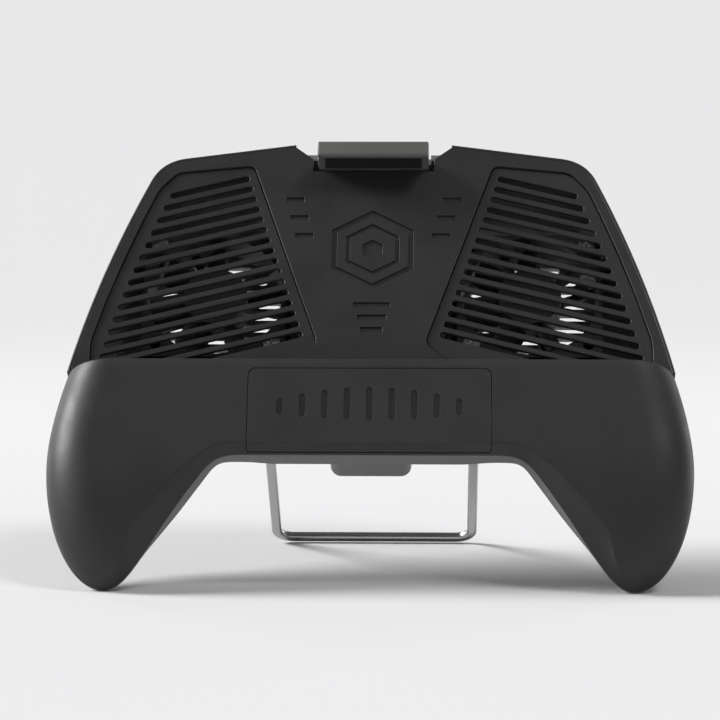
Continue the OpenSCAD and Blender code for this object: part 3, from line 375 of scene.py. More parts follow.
first = inner_rows[0]
side_x = np.linspace(WINDOW_X, BAR_FLAT, SIDE_STEPS + 1)[:-1]
side_rows = np.repeat(first[None], len(side_x), 0)
side_rows[..., 0] = side_x[:, None]
right_rows = np.concatenate([side_rows, inner_rows, outer_rows])
corner_y = WINDOW_Y - PANEL_ROUND
N_STRIP = int(np.sum(first[:, 1] > corner_y)) + 1
right_rows[:len(side_x), N_STRIP - 1, 1] = corner_y
right_rows[:len(side_x), N_STRIP - 1, 2] = face_height(np.array(corner_y))
strip_x = across_window(STRIP_STEPS)
strip = np.repeat(right_rows[0][None, :N_STRIP], len(strip_x), 0)
strip[..., 0] = strip_x[:, None]
strip_low = WINDOW_Y - corner_in(strip_x, WINDOW_X, PANEL_ROUND)
drop = (strip_low + LIP_EDGE) / (corner_y + LIP_EDGE)
below = strip[..., 1] < -LIP_EDGE
strip[..., 1] = np.where(below, -LIP_EDGE + (strip[..., 1] + LIP_EDGE) * drop[:, None], strip[..., 1])
strip[..., 2] = np.where(below, face_height(strip[..., 1]), strip[..., 2])
left_rows = right_rows[::-1] * [-1, 1, 1]
n_rows, n_cols = right_rows.shape[:2]
bevel_y, bevel_z = first[-len(BEVEL_RUN):, 1], first[-len(BEVEL_RUN):, 2]
print("window", 2 * WINDOW_X, "mm wide; strip above it", strip.shape[:2])

# %% Sill below the panel, and the whole front
FRONT_WALL, FRONT_EDGE = 2.0, 0.22
sill_start = bevel_y[CORNER_ROW]
SILL_Y, SILL_ROUND = bevel_y[SILL_ROW], sill_start - bevel_y[SILL_ROW]
sill_x = across_window(SILL_STEPS)
sill_top = SILL_Y + corner_in(sill_x, WINDOW_X, SILL_ROUND)
sill_run = (sill_start - bevel_y[CORNER_ROW:]) / (sill_start + BAR_H)
sill_y = sill_top[:, None] + (-BAR_H - sill_top)[:, None] * sill_run
sill_z = np.interp(-sill_y, -bevel_y, bevel_z)
sill = np.stack([np.broadcast_to(sill_x[:, None], sill_y.shape), sill_y, sill_z], -1)
front_mesh = make_mesh("front_skin", [
    (left_rows, grid_faces(n_rows, n_cols)), (strip, grid_faces(len(strip_x), N_STRIP)),
    (sill, grid_faces(*sill.shape[:2])), (right_rows, grid_faces(n_rows, n_cols))])
weld(front_mesh)
front_skin = add_piece("front_skin", front_mesh, "casing", "shell_black", ["front_shell"])
thicken(front_skin, FRONT_WALL, FRONT_EDGE)

# %% [markdown]
# ## Rear shell
# The rear half is a second moulding that meets the first one along the seam, so it is a second loft on
# the same curves. Each row drops from the seam in a straight rim and then turns in: to the flat back
# beside the deck, and to a ridge along each handle, where the rows of both sides meet. The rim is highest
# under the bar and runs out at the handles' tips.

# %% Deck outline
DECK_H, TOP_X, TOP_DROP, PEAK_X, DECK_CORNER, SIDE_BOW = 75.5, 59.7, 5.7, 22.0, 7.0, 1.9
UPPER = np.array([TOP_X, DECK_H - TOP_DROP, SEAM_Z])
PEAK = np.array([PEAK_X, DECK_H, SEAM_Z])
side_run = LIP_CORNER - UPPER
side_out = np.array([-side_run[1], side_run[0], 0])
SIDE_PULL = (UPPER + LIP_CORNER) / 2 + 2 * SIDE_BOW * side_out / np.linalg.norm(side_run)
TOP_RUN = (PEAK - UPPER) / np.linalg.norm(PEAK - UPPER)
SIDE_START = DECK_CORNER / np.linalg.norm(side_run)
CORNER_STEPS, BROW_STEPS, EDGE_STEPS = 16, 23, 50


def side_edge(t):
    """The deck's long side, bowed outward: a quadratic from the upper corner to the lip."""
    return bez2(UPPER, SIDE_PULL, LIP_CORNER, t)


side_top = side_edge(np.array([SIDE_START]))[0]
corner_edge = bez2(UPPER + DECK_CORNER * TOP_RUN, UPPER, side_top, np.linspace(0, 1, CORNER_STEPS))
brow = PEAK + (corner_edge[0] - PEAK) * np.linspace(0, 1, BROW_STEPS + 1)[:-1, None]
deck_half = np.concatenate([[[0, DECK_H, SEAM_Z]], brow, corner_edge,
                            side_edge(np.linspace(SIDE_START, 1, EDGE_STEPS)[1:-1])])
print("deck outline", len(deck_half), "points on each side")

# %% Ridge and rim of the back
BACK_Z, BACK_LOW, BACK_ROUND, SEAM_GAP = -20.0, 13.0, 7.0, 0.25
RIM_BAR, RIM_BEND, RIM_SIDE, RIM_TIP, RIM_FLARE = 5.0, 4.0, 3.0, 0.6, 0.8
RIM_RUN = np.array([0, 0.5, 0.8])
RIDGE_START = np.array([LIP_X - 20, -BACK_LOW + 2, BACK_Z])
RIDGE_UPPER = np.array([TIP_X - 6, -22, -26.5])
RIDGE_LOWER = np.array([TIP_X - 3, -36, -25])
RIDGE_END = np.array([TIP_X - 0.4, -GRIP_DROP + 8.4, TIP_Z - 6])
BEND_FADE, LIMB_FADE, FLARE_RISE, SIDE_FADE = (0.0, 0.2), (0.42, 0.28), (0.1, 0.25), (0.2, 0.6)
SEAM_STEP = 0.01


def ridge(t):
    """The line down the back of a handle."""
    return bez3(RIDGE_START, RIDGE_UPPER, RIDGE_LOWER, RIDGE_END, t)


def tip_fade(g):
    """1 along the bar and the upper handle, falling to 0 well before the tip."""
    return 1 - smooth_step(g, *LIMB_FADE)


def inner_rim(g):
    """The rim's height along the inner seam: high under the bar, almost none at the tip."""
    upper = RIM_BEND + (RIM_SIDE - RIM_BEND) * smooth_step(g, *BEND_FADE)
    return RIM_TIP + (upper - RIM_TIP) * tip_fade(g)


def inner_flare(g):
    """How far the rim's foot stands out into the space between the handles, as steps in the deck's frame."""
    reach = RIM_FLARE * smooth_step(g, *FLARE_RISE) * tip_fade(g)
    ahead = inner_seam(np.minimum(1, g + SEAM_STEP)) - inner_seam(np.maximum(0, g - SEAM_STEP))
    side = np.stack([ahead[:, 1], -ahead[:, 0], np.zeros(len(g))], -1)
    return reach[:, None] * side / np.linalg.norm(side, axis=1, keepdims=True)


def outer_rim(s):
    """The rim's height along the outer seam."""
    return RIM_SIDE + (RIM_TIP - RIM_SIDE) * smooth_step(s, *SIDE_FADE)


print("ridge from", RIDGE_START, "to", RIDGE_END)

# %% Rows of the back, from the seam to the flat or the ridge
START_FULL, FULL_PACE, SIDE_FULL, TIP_FLAT, FLAT_RISE = 0.45, 2.5, 0.9, 0.6, (0.45, 0.45)
TUCK, TUCK_RISE = 0.55, (0.0, 0.3)
OUT_LEAD, INN_LEAD, CROWN_X = 0.14, 0.3, BAR_FLAT - 10
N_RIDGE, N_LEAD, N_CROWN = 110, 24, 8
BACK_RUN = np.linspace(0, 1, 26)


def tip_full(t):
    """How round the handle's back is: it runs straighter from the seam to the ridge towards the tip."""
    return 1 - TIP_FLAT * smooth_step(t, *FLAT_RISE)


def back_rows(seam, end, full, rim, flare=0.0, tuck=1.0):
    """Rows from the seam down a straight rim and round to their end: full = 1 turns on a quarter ellipse, 0
    runs straight, and a share between blends the two. A flare moves the rim's foot sideways, and a tuck below
    1 draws the turn in at once, so that it doesn't show below the rim."""
    full, rim, tuck = (np.broadcast_to(v, len(seam))[:, None] for v in (full, rim, tuck))
    out = BACK_RUN + (1 - np.cos(np.pi / 2 * BACK_RUN) - BACK_RUN) * full * tuck
    down = BACK_RUN + (np.sin(np.pi / 2 * BACK_RUN) - BACK_RUN) * full
    foot = seam + flare - rim * [0, 0, 1]
    span = end - foot
    turn = foot[:, None] + span[:, None] * np.stack([out, out, down], -1)
    edge = seam - np.array([0, 0, SEAM_GAP])
    wall = edge[:, None] + (foot - edge)[:, None] * RIM_RUN[:, None]
    return np.concatenate([wall, turn], 1)


lead = np.linspace(0, 1, N_LEAD + 1)[:-1]
t = np.linspace(0, 1, N_RIDGE)
flat_low = np.array([BAR_FLAT, -BACK_LOW, BACK_Z])
inset = left_of(deck_half[::-1])[::-1]
inset[0] = [0, -1]
shoulder_low = np.append(LIP_CORNER[:2] + BACK_ROUND * inset[-1], BACK_Z)
deck_in = np.concatenate([deck_half[:, :2] + BACK_ROUND * inset, np.full((len(deck_half), 1), BACK_Z)], 1)
bar_g = INN_LEAD * lead
limb_g = INN_LEAD + (1 - INN_LEAD) * t[:-1]
limb_s = OUT_LEAD + (1 - OUT_LEAD) * t[::-1]
limb_full = (START_FULL + (1 - START_FULL) * np.minimum(1, FULL_PACE * t)) * tip_full(t)
to_shoulder = shoulder_low + (RIDGE_START - shoulder_low) * lead[::-1, None]
crown = np.linspace(0, 1, N_CROWN + 1)[:-1, None]
crown_seam = np.array([CROWN_X, -BAR_H, BAR_SEAM]) + crown * [BAR_FLAT - CROWN_X, 0, 0]
crown_low = np.array([CROWN_X, -BACK_LOW, BACK_Z]) + crown * [BAR_FLAT - CROWN_X, 0, 0]
back_half = np.concatenate([
    back_rows(crown_seam, crown_low, 0, RIM_BAR + (RIM_BEND - RIM_BAR) * smooth_step(crown[:, 0])),
    back_rows(inner_seam(bar_g), flat_low + (RIDGE_START - flat_low) * lead[:, None], START_FULL * lead,
              inner_rim(bar_g), inner_flare(bar_g)),
    back_rows(inner_seam(limb_g), ridge(t[:-1]), limb_full[:-1], inner_rim(limb_g), inner_flare(limb_g),
              1 - TUCK * smooth_step(t[:-1], *TUCK_RISE)),
    back_rows(outer_seam(limb_s), ridge(t[::-1]), tip_full(t[::-1]), outer_rim(limb_s)),
    back_rows(outer_seam(OUT_LEAD * lead[::-1]), to_shoulder, SIDE_FULL, RIM_SIDE),
    back_rows(deck_half[::-1], deck_in[::-1], SIDE_FULL, RIM_SIDE)])
print("back rows", back_half.shape, "inset at the deck's side", inset[-1].round(2))

# %% [markdown]
# The rows of one side are mirrored to close the ring. The flat back is a plate with slots and screw holes
# in it, so it is drawn as a filled outline instead of a grid: Blender fills a flat curve with holes,
# gives it its thickness and rounds all its edges in one go. The same helper later makes the deck, the
# vents and the hook.

# %% Rear skin
REAR_WALL, REAR_EDGE, REAR_WELD = 1.9, 0.3, 2e-5
back_left = back_half[-2:0:-1] * [-1, 1, 1]
back_ring = np.concatenate([back_half, back_left])
rear_mesh = make_mesh("rear_skin", [(back_ring, grid_faces(*back_ring.shape[:2], wrap_rows=True))])
weld(rear_mesh, REAR_WELD)
rear_skin = add_piece("rear_skin", rear_mesh, "casing", "shell_grey", ["rear_shell"])
thicken(rear_skin, REAR_WALL, REAR_EDGE)

# %% Plates: filled outlines with holes
ROUND_STEPS, CUT_SHARE, FINE_EDGE = 10, 0.45, 0.02


def resample(loop, step):
    """Points every step along a closed outline, by interpolating on its length."""
    closed = np.concatenate([loop, loop[:1]])
    length = np.concatenate([[0], np.cumsum(np.linalg.norm(np.diff(closed, axis=0), axis=1))])
    at = np.linspace(0, length[-1], max(8, int(length[-1] / step)), endpoint=False)
    return np.stack([np.interp(at, length, closed[:, k]) for k in (0, 1)], -1)


def rounded(corners, radius):
    """An outline with each corner replaced by a quadratic that starts and ends radius away from it, or less
    where a side is short."""
    p = np.asarray(corners, float)
    to_last, to_next = np.roll(p, 1, 0) - p, np.roll(p, -1, 0) - p
    l0, l1 = (np.linalg.norm(v, axis=1, keepdims=True) for v in (to_last, to_next))
    cut = np.minimum(radius, CUT_SHARE * np.minimum(l0, l1))
    a, b = p + to_last / l0 * cut, p + to_next / l1 * cut
    u = np.linspace(0, 1, ROUND_STEPS)[:, None, None]
    return np.moveaxis(a * (1 - u) ** 2 + 2 * p * u * (1 - u) + b * u ** 2, 0, 1).reshape(-1, 2)


def stadium(a, b, width, steps=8):
    """The outline of a slot with round ends between the points a and b."""
    a, b = np.asarray(a, float), np.asarray(b, float)
    way = math.atan2(*(b - a)[::-1])
    turn = np.linspace(-math.pi / 2, math.pi / 2, steps)
    end = np.stack([np.cos(way + turn), np.sin(way + turn)], -1) * width / 2
    return np.concatenate([b + end, a - end])


def circle(centre, d, steps=32):
    """A round outline."""
    turn = np.linspace(0, 2 * math.pi, steps, endpoint=False)
    return np.asarray(centre, float) + np.stack([np.cos(turn), np.sin(turn)], -1) * d / 2


def bar(x, y, w, h):
    """A rectangle from its lower left corner."""
    return np.array([[x, y], [x + w, y], [x + w, y + h], [x, y + h]], float)


def mirrored(loops):
    """The outlines and their copies on the other side of x = 0."""
    return list(loops) + [loop[::-1] * [-1, 1] for loop in loops]


def plate(loops, low, high, edge, lay=None):
    """Points and faces of a flat plate between two heights. The first outline is its rim, the others are
    holes or islands in holes, and every edge is rounded by edge. lay turns (u, v, height) into deck
    points."""
    flat = bpy.data.curves.new("outline", "CURVE")
    flat.dimensions = "2D"
    flat.fill_mode = "BOTH"
    flat.extrude = (high - low) / 2 - edge
    flat.bevel_depth, flat.bevel_resolution, flat.offset = edge, 2, -edge
    for loop in loops:
        line = flat.splines.new("POLY")
        line.points.add(len(loop) - 1)
        place = np.zeros((len(loop), 4))
        place[:, :2], place[:, 3] = loop, 1
        line.points.foreach_set("co", place.ravel())
        line.use_cyclic_u = True
    holder = bpy.data.objects.new("outline", flat)
    scene.collection.objects.link(holder)
    mesh = bpy.data.meshes.new_from_object(holder.evaluated_get(bpy.context.evaluated_depsgraph_get()))
    points = np.zeros(3 * len(mesh.vertices))
    mesh.vertices.foreach_get("co", points)
    points = points.reshape(-1, 3) + [0, 0, (low + high) / 2]
    faces = [tuple(f.vertices) for f in mesh.polygons]
    bpy.data.objects.remove(holder)
    bpy.data.curves.remove(flat)
    bpy.data.meshes.remove(mesh)
    return (points if lay is None else lay(points)), faces


# %% Flat back with its vents and screw holes
FAN_X, FAN_Y, FAN_BORE = 43.5, 29.0, 38.0
REAR_SLOTS, REAR_PITCH, REAR_SLOT_W, REAR_SLOT_IN, BACK_T = 9, 3.9, 2.2, 1, 2
DECK_POST, BAR_POST = (25.8, 57.0), (46.0, -8.0)
SCREW_WELL, BUTTON_HOLE, BUTTON_AT = 5.2, 7.4, (-15.5, 4)
slot_y = (np.arange(REAR_SLOTS) - (REAR_SLOTS - 1) / 2) * REAR_PITCH
slot_x = np.sqrt((FAN_BORE / 2 - REAR_SLOT_IN) ** 2 - slot_y ** 2) - REAR_SLOT_W / 2
rear_holes = [stadium((FAN_X - dx, FAN_Y + dy), (FAN_X + dx, FAN_Y + dy), REAR_SLOT_W)
              for dx, dy in zip(slot_x, slot_y)]
rear_holes += [circle(DECK_POST, SCREW_WELL), circle(BAR_POST, SCREW_WELL)]
n_low = N_CROWN + N_LEAD
flat_edge = np.concatenate([back_half[:n_low + 1, -1, :2], back_half[n_low + 2 * N_RIDGE - 1:, -1, :2]])
flat_rim = np.concatenate([flat_edge, flat_edge[-2::-1] * [-1, 1]])
button_hole = [circle(BUTTON_AT, BUTTON_HOLE)]
back_plate = plate([flat_rim] + mirrored(rear_holes) + button_hole, BACK_Z, BACK_Z + BACK_T, FINE_EDGE)
back_mesh = make_mesh("back_face", [back_plate])
add_piece("back_face", back_mesh, "casing", "shell_grey", ["rear_shell"], crease=30)

# %% Hump on the back
HUMP_X, HUMP_LOW, HUMP_TOP, HUMP_R, HUMP_ROOT, HUMP_Z = 11.1, -19.3, 36.0, 3.0, -12.6, -25.0


def rounded_box(half_x, low_y, high_y, r, base_z, top_z, steps=12):
    """A block with round upright corners and a rounded far edge: rings of the same outline, drawn in by r
    times (1 - cos a) while the height turns over by r times (1 - sin a), and a flat cap."""
    turn = np.linspace(0, 2 * math.pi, 8 * steps, endpoint=False) + math.pi / (8 * steps)
    way = np.stack([np.cos(turn), np.sin(turn)], -1)
    mid = np.stack([np.sign(way[:, 0]) * (half_x - r), np.where(way[:, 1] > 0, high_y - r, low_y + r)], -1)
    over = np.radians(np.linspace(0, 86, 10))
    reach = np.concatenate([[r], r * np.cos(over)])
    height = np.concatenate([[base_z], top_z + np.sign(base_z - top_z) * r * (1 - np.sin(over))])
    ring = mid[None] + reach[:, None, None] * way[None]
    points = np.concatenate([ring, np.broadcast_to(height[:, None, None], ring.shape[:2] + (1,))], -1)
    cap = (len(reach) - 1) * len(turn) + np.arange(len(turn))
    side = grid_faces(len(reach), len(turn), wrap_cols=True)
    return points, list(side) + [cap[::-1]]


hump = rounded_box(HUMP_X, HUMP_LOW, HUMP_TOP, HUMP_R, HUMP_ROOT, HUMP_Z)
hump_mesh = make_mesh("back_hump", [hump])
add_piece("back_hump", hump_mesh, "casing", "shell_grey", ["rear_shell"], crease=40)

# %% [markdown]
# The skin still lacks its openings: the gap that the clamp's tongue slides through, the socket's hole in
# the slope under the bar, and a well for the screw in each handle. They cross the rows of the loft at odd
# places, so a Boolean is simpler here than a grid bent round them.

# %% Openings in the rear skin
PORT_X, PORT_Z, PORT_W, PORT_H = 15.5, -13.65, 9.6, 3.8
PORT_FROM, PORT_TO = -26, -13
HOOK_GAP_X, HOOK_GAP_DOWN, HOOK_GAP_H, HOOK_GAP_Z, HOOK_GAP_TOP = 16.1, 12, 14, -7.2, 0.8
GRIP_SCREW_AT, WELL_FAR, WELL_DEEP = 0.55, -40, 3


def along_y(points):
    """An outline drawn over x and z, with its thickness along y."""
    return points[:, [0, 2, 1]]


def cut(obj, parts):
    """Takes closed shapes out of a piece for good: its modifiers and a Boolean become a new mesh."""
    tool_mesh = make_mesh("cutter", parts)
    face_outwards(tool_mesh)
    tool = bpy.data.objects.new("cutter", tool_mesh)
    scene.collection.objects.link(tool)
    hole = obj.modifiers.new("openings", "BOOLEAN")
    hole.object, hole.operation, hole.solver = tool, "DIFFERENCE", "EXACT"
    uncut = obj.data
    obj.data = bpy.data.meshes.new_from_object(obj.evaluated_get(bpy.context.evaluated_depsgraph_get()))
    obj.modifiers.clear()
    obj.data.set_sharp_from_angle(angle=math.radians(35))
    bpy.data.objects.remove(tool)
    for mesh in (tool_mesh, uncut):
        bpy.data.meshes.remove(mesh)


gap_rim = bar(-HOOK_GAP_X, DECK_H - HOOK_GAP_DOWN, 2 * HOOK_GAP_X, HOOK_GAP_H)
tongue_gap = plate([gap_rim], HOOK_GAP_Z, HOOK_GAP_TOP, FINE_EDGE)
socket_end = np.array([(PORT_W - PORT_H) / 2, 0])
socket = stadium((PORT_X, PORT_Z) - socket_end, (PORT_X, PORT_Z) + socket_end, PORT_H)
grip_screw = ridge(np.array([GRIP_SCREW_AT]))[0]
wells = [plate([circle((x, grip_screw[1]), SCREW_WELL)], WELL_FAR, grip_screw[2] + WELL_DEEP, FINE_EDGE)
         for x in (grip_screw[0], -grip_screw[0])]
cut(rear_skin, [tongue_gap, plate([socket], PORT_FROM, PORT_TO, FINE_EDGE, along_y)] + wells)
print("rear skin after cutting", len(rear_skin.data.polygons), "faces")

# %% [markdown]
# ## Deck
# The deck is a thin moulded plate with a notch for the hook at its top edge and a window for each vent.
# Windows could be cut with Booleans, but a plate filled between its outlines keeps every edge evenly
# rounded. The badge is sunk: its outlines are holes in the plate, with a floor a little below the face. A
# rolled rim with a skirt under it closes the deck down to the seam.

# %% Windows for the vents
VENT_LOW, VENT_HIGH, VENT_ROUND = 2.6, DECK_H - 15.5, 2.2
VENT_EDGE, VENT_FOOT_EDGE = 3.6, 5.4


def deck_edge_x(y):
    """The deck's half width at height y, bowed outward between the lip and the upper corner."""
    up = np.asarray(y, float) / UPPER[1]
    return LIP_X + (TOP_X - LIP_X) * up + 4 * SIDE_BOW * up * (1 - up)


vent_y = np.array([VENT_LOW, 10, 24, 38, 52, VENT_HIGH])
vent_edge = np.where(vent_y > VENT_LOW, VENT_EDGE, VENT_FOOT_EDGE)
vent_side = np.stack([deck_edge_x(vent_y) - vent_edge, vent_y], -1)
vent_corners = np.concatenate([[[33.6, DECK_H - 7.2], [14.6, 9.6], [22.6, VENT_LOW]], vent_side,
                               [[TOP_X - 4.5, DECK_H - 9.6]]])
vent_rim = rounded(vent_corners, VENT_ROUND)
print("vent window", len(vent_rim), "points")

# %% Deck plate with its sunk badge
DECK_T, DECK_EDGE, RIM_W = 2.4, 0.18, 0.9
NOTCH_X, NOTCH_Y, NOTCH_OUT = 17.0, 66.4, DECK_H - 5
GROOVE, BADGE_Y, BADGE_RINGS = 0.5, 40.0, (13, 11.4, 8.5, 7.3, 3.2)
BADGE_FLOOR_T, BADGE_FLOOR_EDGE = 0.8, 0.05


def hexagon(r):
    """A six-sided outline round the badge's centre: r times cos and sin of every 60 degrees, from 30."""
    turn = np.radians(30 + 60 * np.arange(6))
    return np.array([0, BADGE_Y]) + r * np.stack([np.cos(turn), np.sin(turn)], -1)


right_edge = np.concatenate([deck_half[1:, :2], [[LIP_X - 0.1, 0.25]]])
edge_in = np.concatenate([inset[1:], inset[-1:]])
plate_edge = right_edge + RIM_W * edge_in
notch = [[-NOTCH_X, NOTCH_OUT], [-NOTCH_X, NOTCH_Y], [NOTCH_X, NOTCH_Y], [NOTCH_X, NOTCH_OUT]]
deck_rim = np.concatenate([plate_edge, plate_edge[::-1] * [-1, 1], notch])
badge = [hexagon(r) for r in BADGE_RINGS]
badge += [bar(-5 + k, BADGE_Y - 19 - 4 * k, 10 - 2 * k, 1.6) for k in range(3)]
badge += mirrored([bar(16.5 + 1.4 * k, BADGE_Y + 4 + 6 * k, 5, 1.4) for k in range(3)])
deck_plate = plate([deck_rim] + mirrored([vent_rim]) + badge, -DECK_T, 0, DECK_EDGE)
floor_side = np.array([[14, 11.5], [28.5, 58.5]])
floor_rim = np.concatenate([floor_side, floor_side[::-1] * [-1, 1]])
badge_floor = plate([floor_rim], -GROOVE - BADGE_FLOOR_T, -GROOVE, BADGE_FLOOR_EDGE)
print("badge of", len(badge), "outlines")

# %% Rolled rim of the deck
RIM_PROFILE = np.array([[1.0, -0.15], [0.8, 0.04], [0.55, 0.1], [0.3, 0.04], [0.12, -0.12], [0.02, -0.35],
                        [0, -0.6], [0, SEAM_Z], [2, SEAM_Z], [2, -DECK_T + 0.4], [1, -1]])


def tube(points):
    """Faces for rings of points along a path, with a cap on the first ring and on the last."""
    rows, cols = points.shape[:2]
    caps = [range(cols), range(rows * cols - 1, (rows - 1) * cols - 1, -1)]
    return points, list(grid_faces(rows, cols, wrap_cols=True)) + caps


def deck_skirt():
    """The rolled rim and the wall under it: a profile of (way in, height) carried along the deck's edge."""
    flat = right_edge[:, None] + edge_in[:, None] * RIM_PROFILE[:, :1]
    height = np.broadcast_to(RIM_PROFILE[:, 1:], flat.shape[:2] + (1,))
    return tube(np.concatenate([flat, height], -1))


skirt, skirt_faces = deck_skirt()
skirts = [(skirt, skirt_faces), (skirt * [-1, 1, 1], skirt_faces)]
deck_mesh = make_mesh("deck", [deck_plate, badge_floor] + skirts)
face_outwards(deck_mesh)
add_piece("deck", deck_mesh, "casing", "deck_black", ["deck_cover"], crease=30)

# %% [markdown]
# ## Vents
# Each vent is a slotted plate let into the deck, over a fan. An array of one slot would be quick, but the
# slots end along the deck's bowed side, so each has its own length, found in a few rounds from where its
# far end lies. They fall towards the outside, and the lowest ones run out at the plate's lower edge, so
# their outlines are cut there.

# %% Vent grilles
VENT_SLOTS, SLOT_W, SLOT_FALL, SLOT_EDGE, SLOT_LOW = 16, 1.9, math.radians(15.6), 7.5, 4.6
SLOT_FIRST, SLOT_LAST, SLOT_GUESS, SLOT_STEP = [34.9, 64.3], [18.8, 12.7], 20.0, 0.3
VENT_SINK, GRILLE_T, GRILLE_GAP, GRILLE_EDGE = 0.6, 1.1, 0.12, 0.26
slot_start = np.linspace(SLOT_FIRST, SLOT_LAST, VENT_SLOTS)
slot_len = np.full(VENT_SLOTS, SLOT_GUESS)
for _ in range(3):
    far_y = np.maximum(0, slot_start[:, 1] - slot_len * math.sin(SLOT_FALL))
    slot_len = (deck_edge_x(far_y) - SLOT_EDGE - slot_start[:, 0]) / math.cos(SLOT_FALL)
slot_way = np.array([math.cos(SLOT_FALL), -math.sin(SLOT_FALL)])
slots = [stadium(a + slot_way * SLOT_W / 2, a + slot_way * (n - SLOT_W / 2), SLOT_W)
         for a, n in zip(slot_start, slot_len)]
slots = [resample(loop, SLOT_STEP) for loop in slots]
slots = [loop[loop[:, 1] >= SLOT_LOW] for loop in slots]
grille_rim = vent_rim + GRILLE_GAP * np.sign(vent_rim.mean(0) - vent_rim)
grille, grille_faces = plate([grille_rim] + slots, -VENT_SINK - GRILLE_T, -VENT_SINK, GRILLE_EDGE)
right_vent = make_mesh("right_vent", [(grille, grille_faces)])
left_vent = make_mesh("left_vent", [(grille * [-1, 1, 1], [f[::-1] for f in grille_faces])])
add_piece("right_vent", right_vent, "casing", "deck_black", ["right_vent_grille"], crease=30)
add_piece("left_vent", left_vent, "casing", "deck_black", ["left_vent_grille"], crease=30)

# %% [markdown]
# ## Front panel
# A seamed panel closes the bar between the handles and carries a row of short sunk bars. The bars could
# be cut into it, but a height field follows the bent face by itself: a grid over the panel, lowered
# wherever the distance to a bar's middle line is less than the bar's radius.

# %% Front panel
CREASE_Y = -BAR_H + BEVEL_W
PANEL_WALL, PANEL_EDGE, PANEL_STEPS, FOLD_STEPS = 1.6, 0.3, 130, 8
BARS_SIDE, BAR_STEP, BAR_R, BAR_WALL, BAR_REACH = 4, 6.0, 0.8, 0.14, 1.1
BAR_LEN, BAR_SHORTER, BARS_Y, BARS_BOW = 8, 0.3, 13.4, 0.06


def sunk_bars(x, y):
    """Depth of the bars: 1 inside a capsule, 0 outside, with a short wall between. The k-th bar from the
    middle is shorter and lower by a share of k squared."""
    k = np.clip(np.round(x / BAR_STEP), -BARS_SIDE, BARS_SIDE)
    half = (BAR_LEN - BAR_SHORTER * k ** 2) / 2
    dy = np.maximum(np.abs(y + BARS_Y + BARS_BOW * k ** 2) - half, 0)
    away = np.hypot(x - BAR_STEP * k, dy)
    return 1 - smooth_step(away, BAR_R - BAR_WALL / 2, BAR_WALL)


bar_mid = BAR_STEP * np.arange(-BARS_SIDE, BARS_SIDE + 1)
bar_x = (bar_mid[:, None] + np.linspace(-BAR_REACH, BAR_REACH, 19)).ravel()
end_x = PANEL_HALF - PANEL_ROUND * (1 - np.sin(np.linspace(0, math.pi / 2, 12)))
panel_x = np.unique(np.concatenate([bar_x, end_x, -end_x, np.linspace(-30, 30, 41)]).round(3))
run = np.linspace(0, 1, PANEL_STEPS)
top_y = -PANEL_TOP - corner_in(panel_x, PANEL_HALF, PANEL_ROUND)
panel_y = top_y[:, None] + (CREASE_Y - top_y)[:, None] * run
panel_z = face_height(panel_y) - GROOVE * sunk_bars(panel_x[:, None], panel_y)
fold = np.linspace(0, 1, FOLD_STEPS + 1)[1:]
low_y = SILL_Y + PANEL_GAP + corner_in(panel_x, PANEL_HALF, SILL_ROUND - PANEL_GAP)
fold_y = CREASE_Y + (low_y - CREASE_Y)[:, None] * fold
crease_z = face_height(np.array(CREASE_Y))
fold_z = crease_z + (BAR_SEAM - crease_z) * (CREASE_Y - fold_y) / (CREASE_Y + BAR_H)
panel_yz = np.stack([np.concatenate([panel_y, fold_y], 1), np.concatenate([panel_z, fold_z], 1)], -1)
panel = np.concatenate([np.broadcast_to(panel_x[:, None, None], panel_yz.shape[:2] + (1,)), panel_yz], -1)
panel_mesh = make_mesh("panel", [(panel, grid_faces(*panel.shape[:2]))])
front_panel = add_piece("panel", panel_mesh, "casing", "shell_black", ["front_panel"], crease=60)
thicken(front_panel, PANEL_WALL, PANEL_EDGE)

# %% [markdown]
# ## Clamp
# The hook at the deck's upper edge is one moulding with a flat tongue that slides in a guide under the
# deck, and a tee at the tongue's end pushes on two springs. Boxes could be joined for it, but the hook is
# one outline in the yz plane, carried along x, and the tongue a plate. Each spring is a helix.

# %% Hook and tongue
HOOK_X, HOOK_T, HOOK_REACH, WALL_Y, HOOK_CLEAR, HOOK_LID = 15.5, 2.8, 2.3, 67.4, 7.6, 2.0
TONGUE_X, TONGUE_LOW, TONGUE_TOP, TONGUE_END, TEE_X, TEE_H = 13.0, -6.7, -2.7, 12.0, 20.1, 3.5
TRAVEL_X, TRAVEL_Y0, TRAVEL_Y1 = 2.9, 25.7, 54.3
HOOK_ROUND, HOOK_EDGE, TONGUE_EDGE = 1.2, 0.5, 0.2
HOOK_TOP, HOOK_BACK, HOOK_TIP = HOOK_CLEAR + HOOK_LID, WALL_Y + HOOK_T, WALL_Y - HOOK_REACH


def along_x(points):
    """An outline drawn over y and z, stood up in the deck's frame with its thickness along x."""
    return points[:, [2, 0, 1]]


hook_rim = rounded([[WALL_Y, TONGUE_LOW], [HOOK_BACK, TONGUE_LOW], [HOOK_BACK, HOOK_TOP],
                    [HOOK_TIP, HOOK_TOP], [HOOK_TIP, HOOK_CLEAR], [WALL_Y, HOOK_CLEAR]], HOOK_ROUND)
hook_bar = plate([hook_rim], -HOOK_X, HOOK_X, HOOK_EDGE, along_x)
tee = np.array([[TEE_X, TONGUE_END], [TEE_X, TONGUE_END + TEE_H], [TONGUE_X, TONGUE_END + TEE_H],
                [TONGUE_X, WALL_Y + 0.5]])
travel = bar(-TRAVEL_X, TRAVEL_Y0, 2 * TRAVEL_X, TRAVEL_Y1 - TRAVEL_Y0)
tongue_rim = np.concatenate([tee, tee[::-1] * [-1, 1]])
tongue = plate([tongue_rim, travel], TONGUE_LOW, TONGUE_TOP, TONGUE_EDGE)
hook_mesh = make_mesh("hook", [hook_bar, tongue])
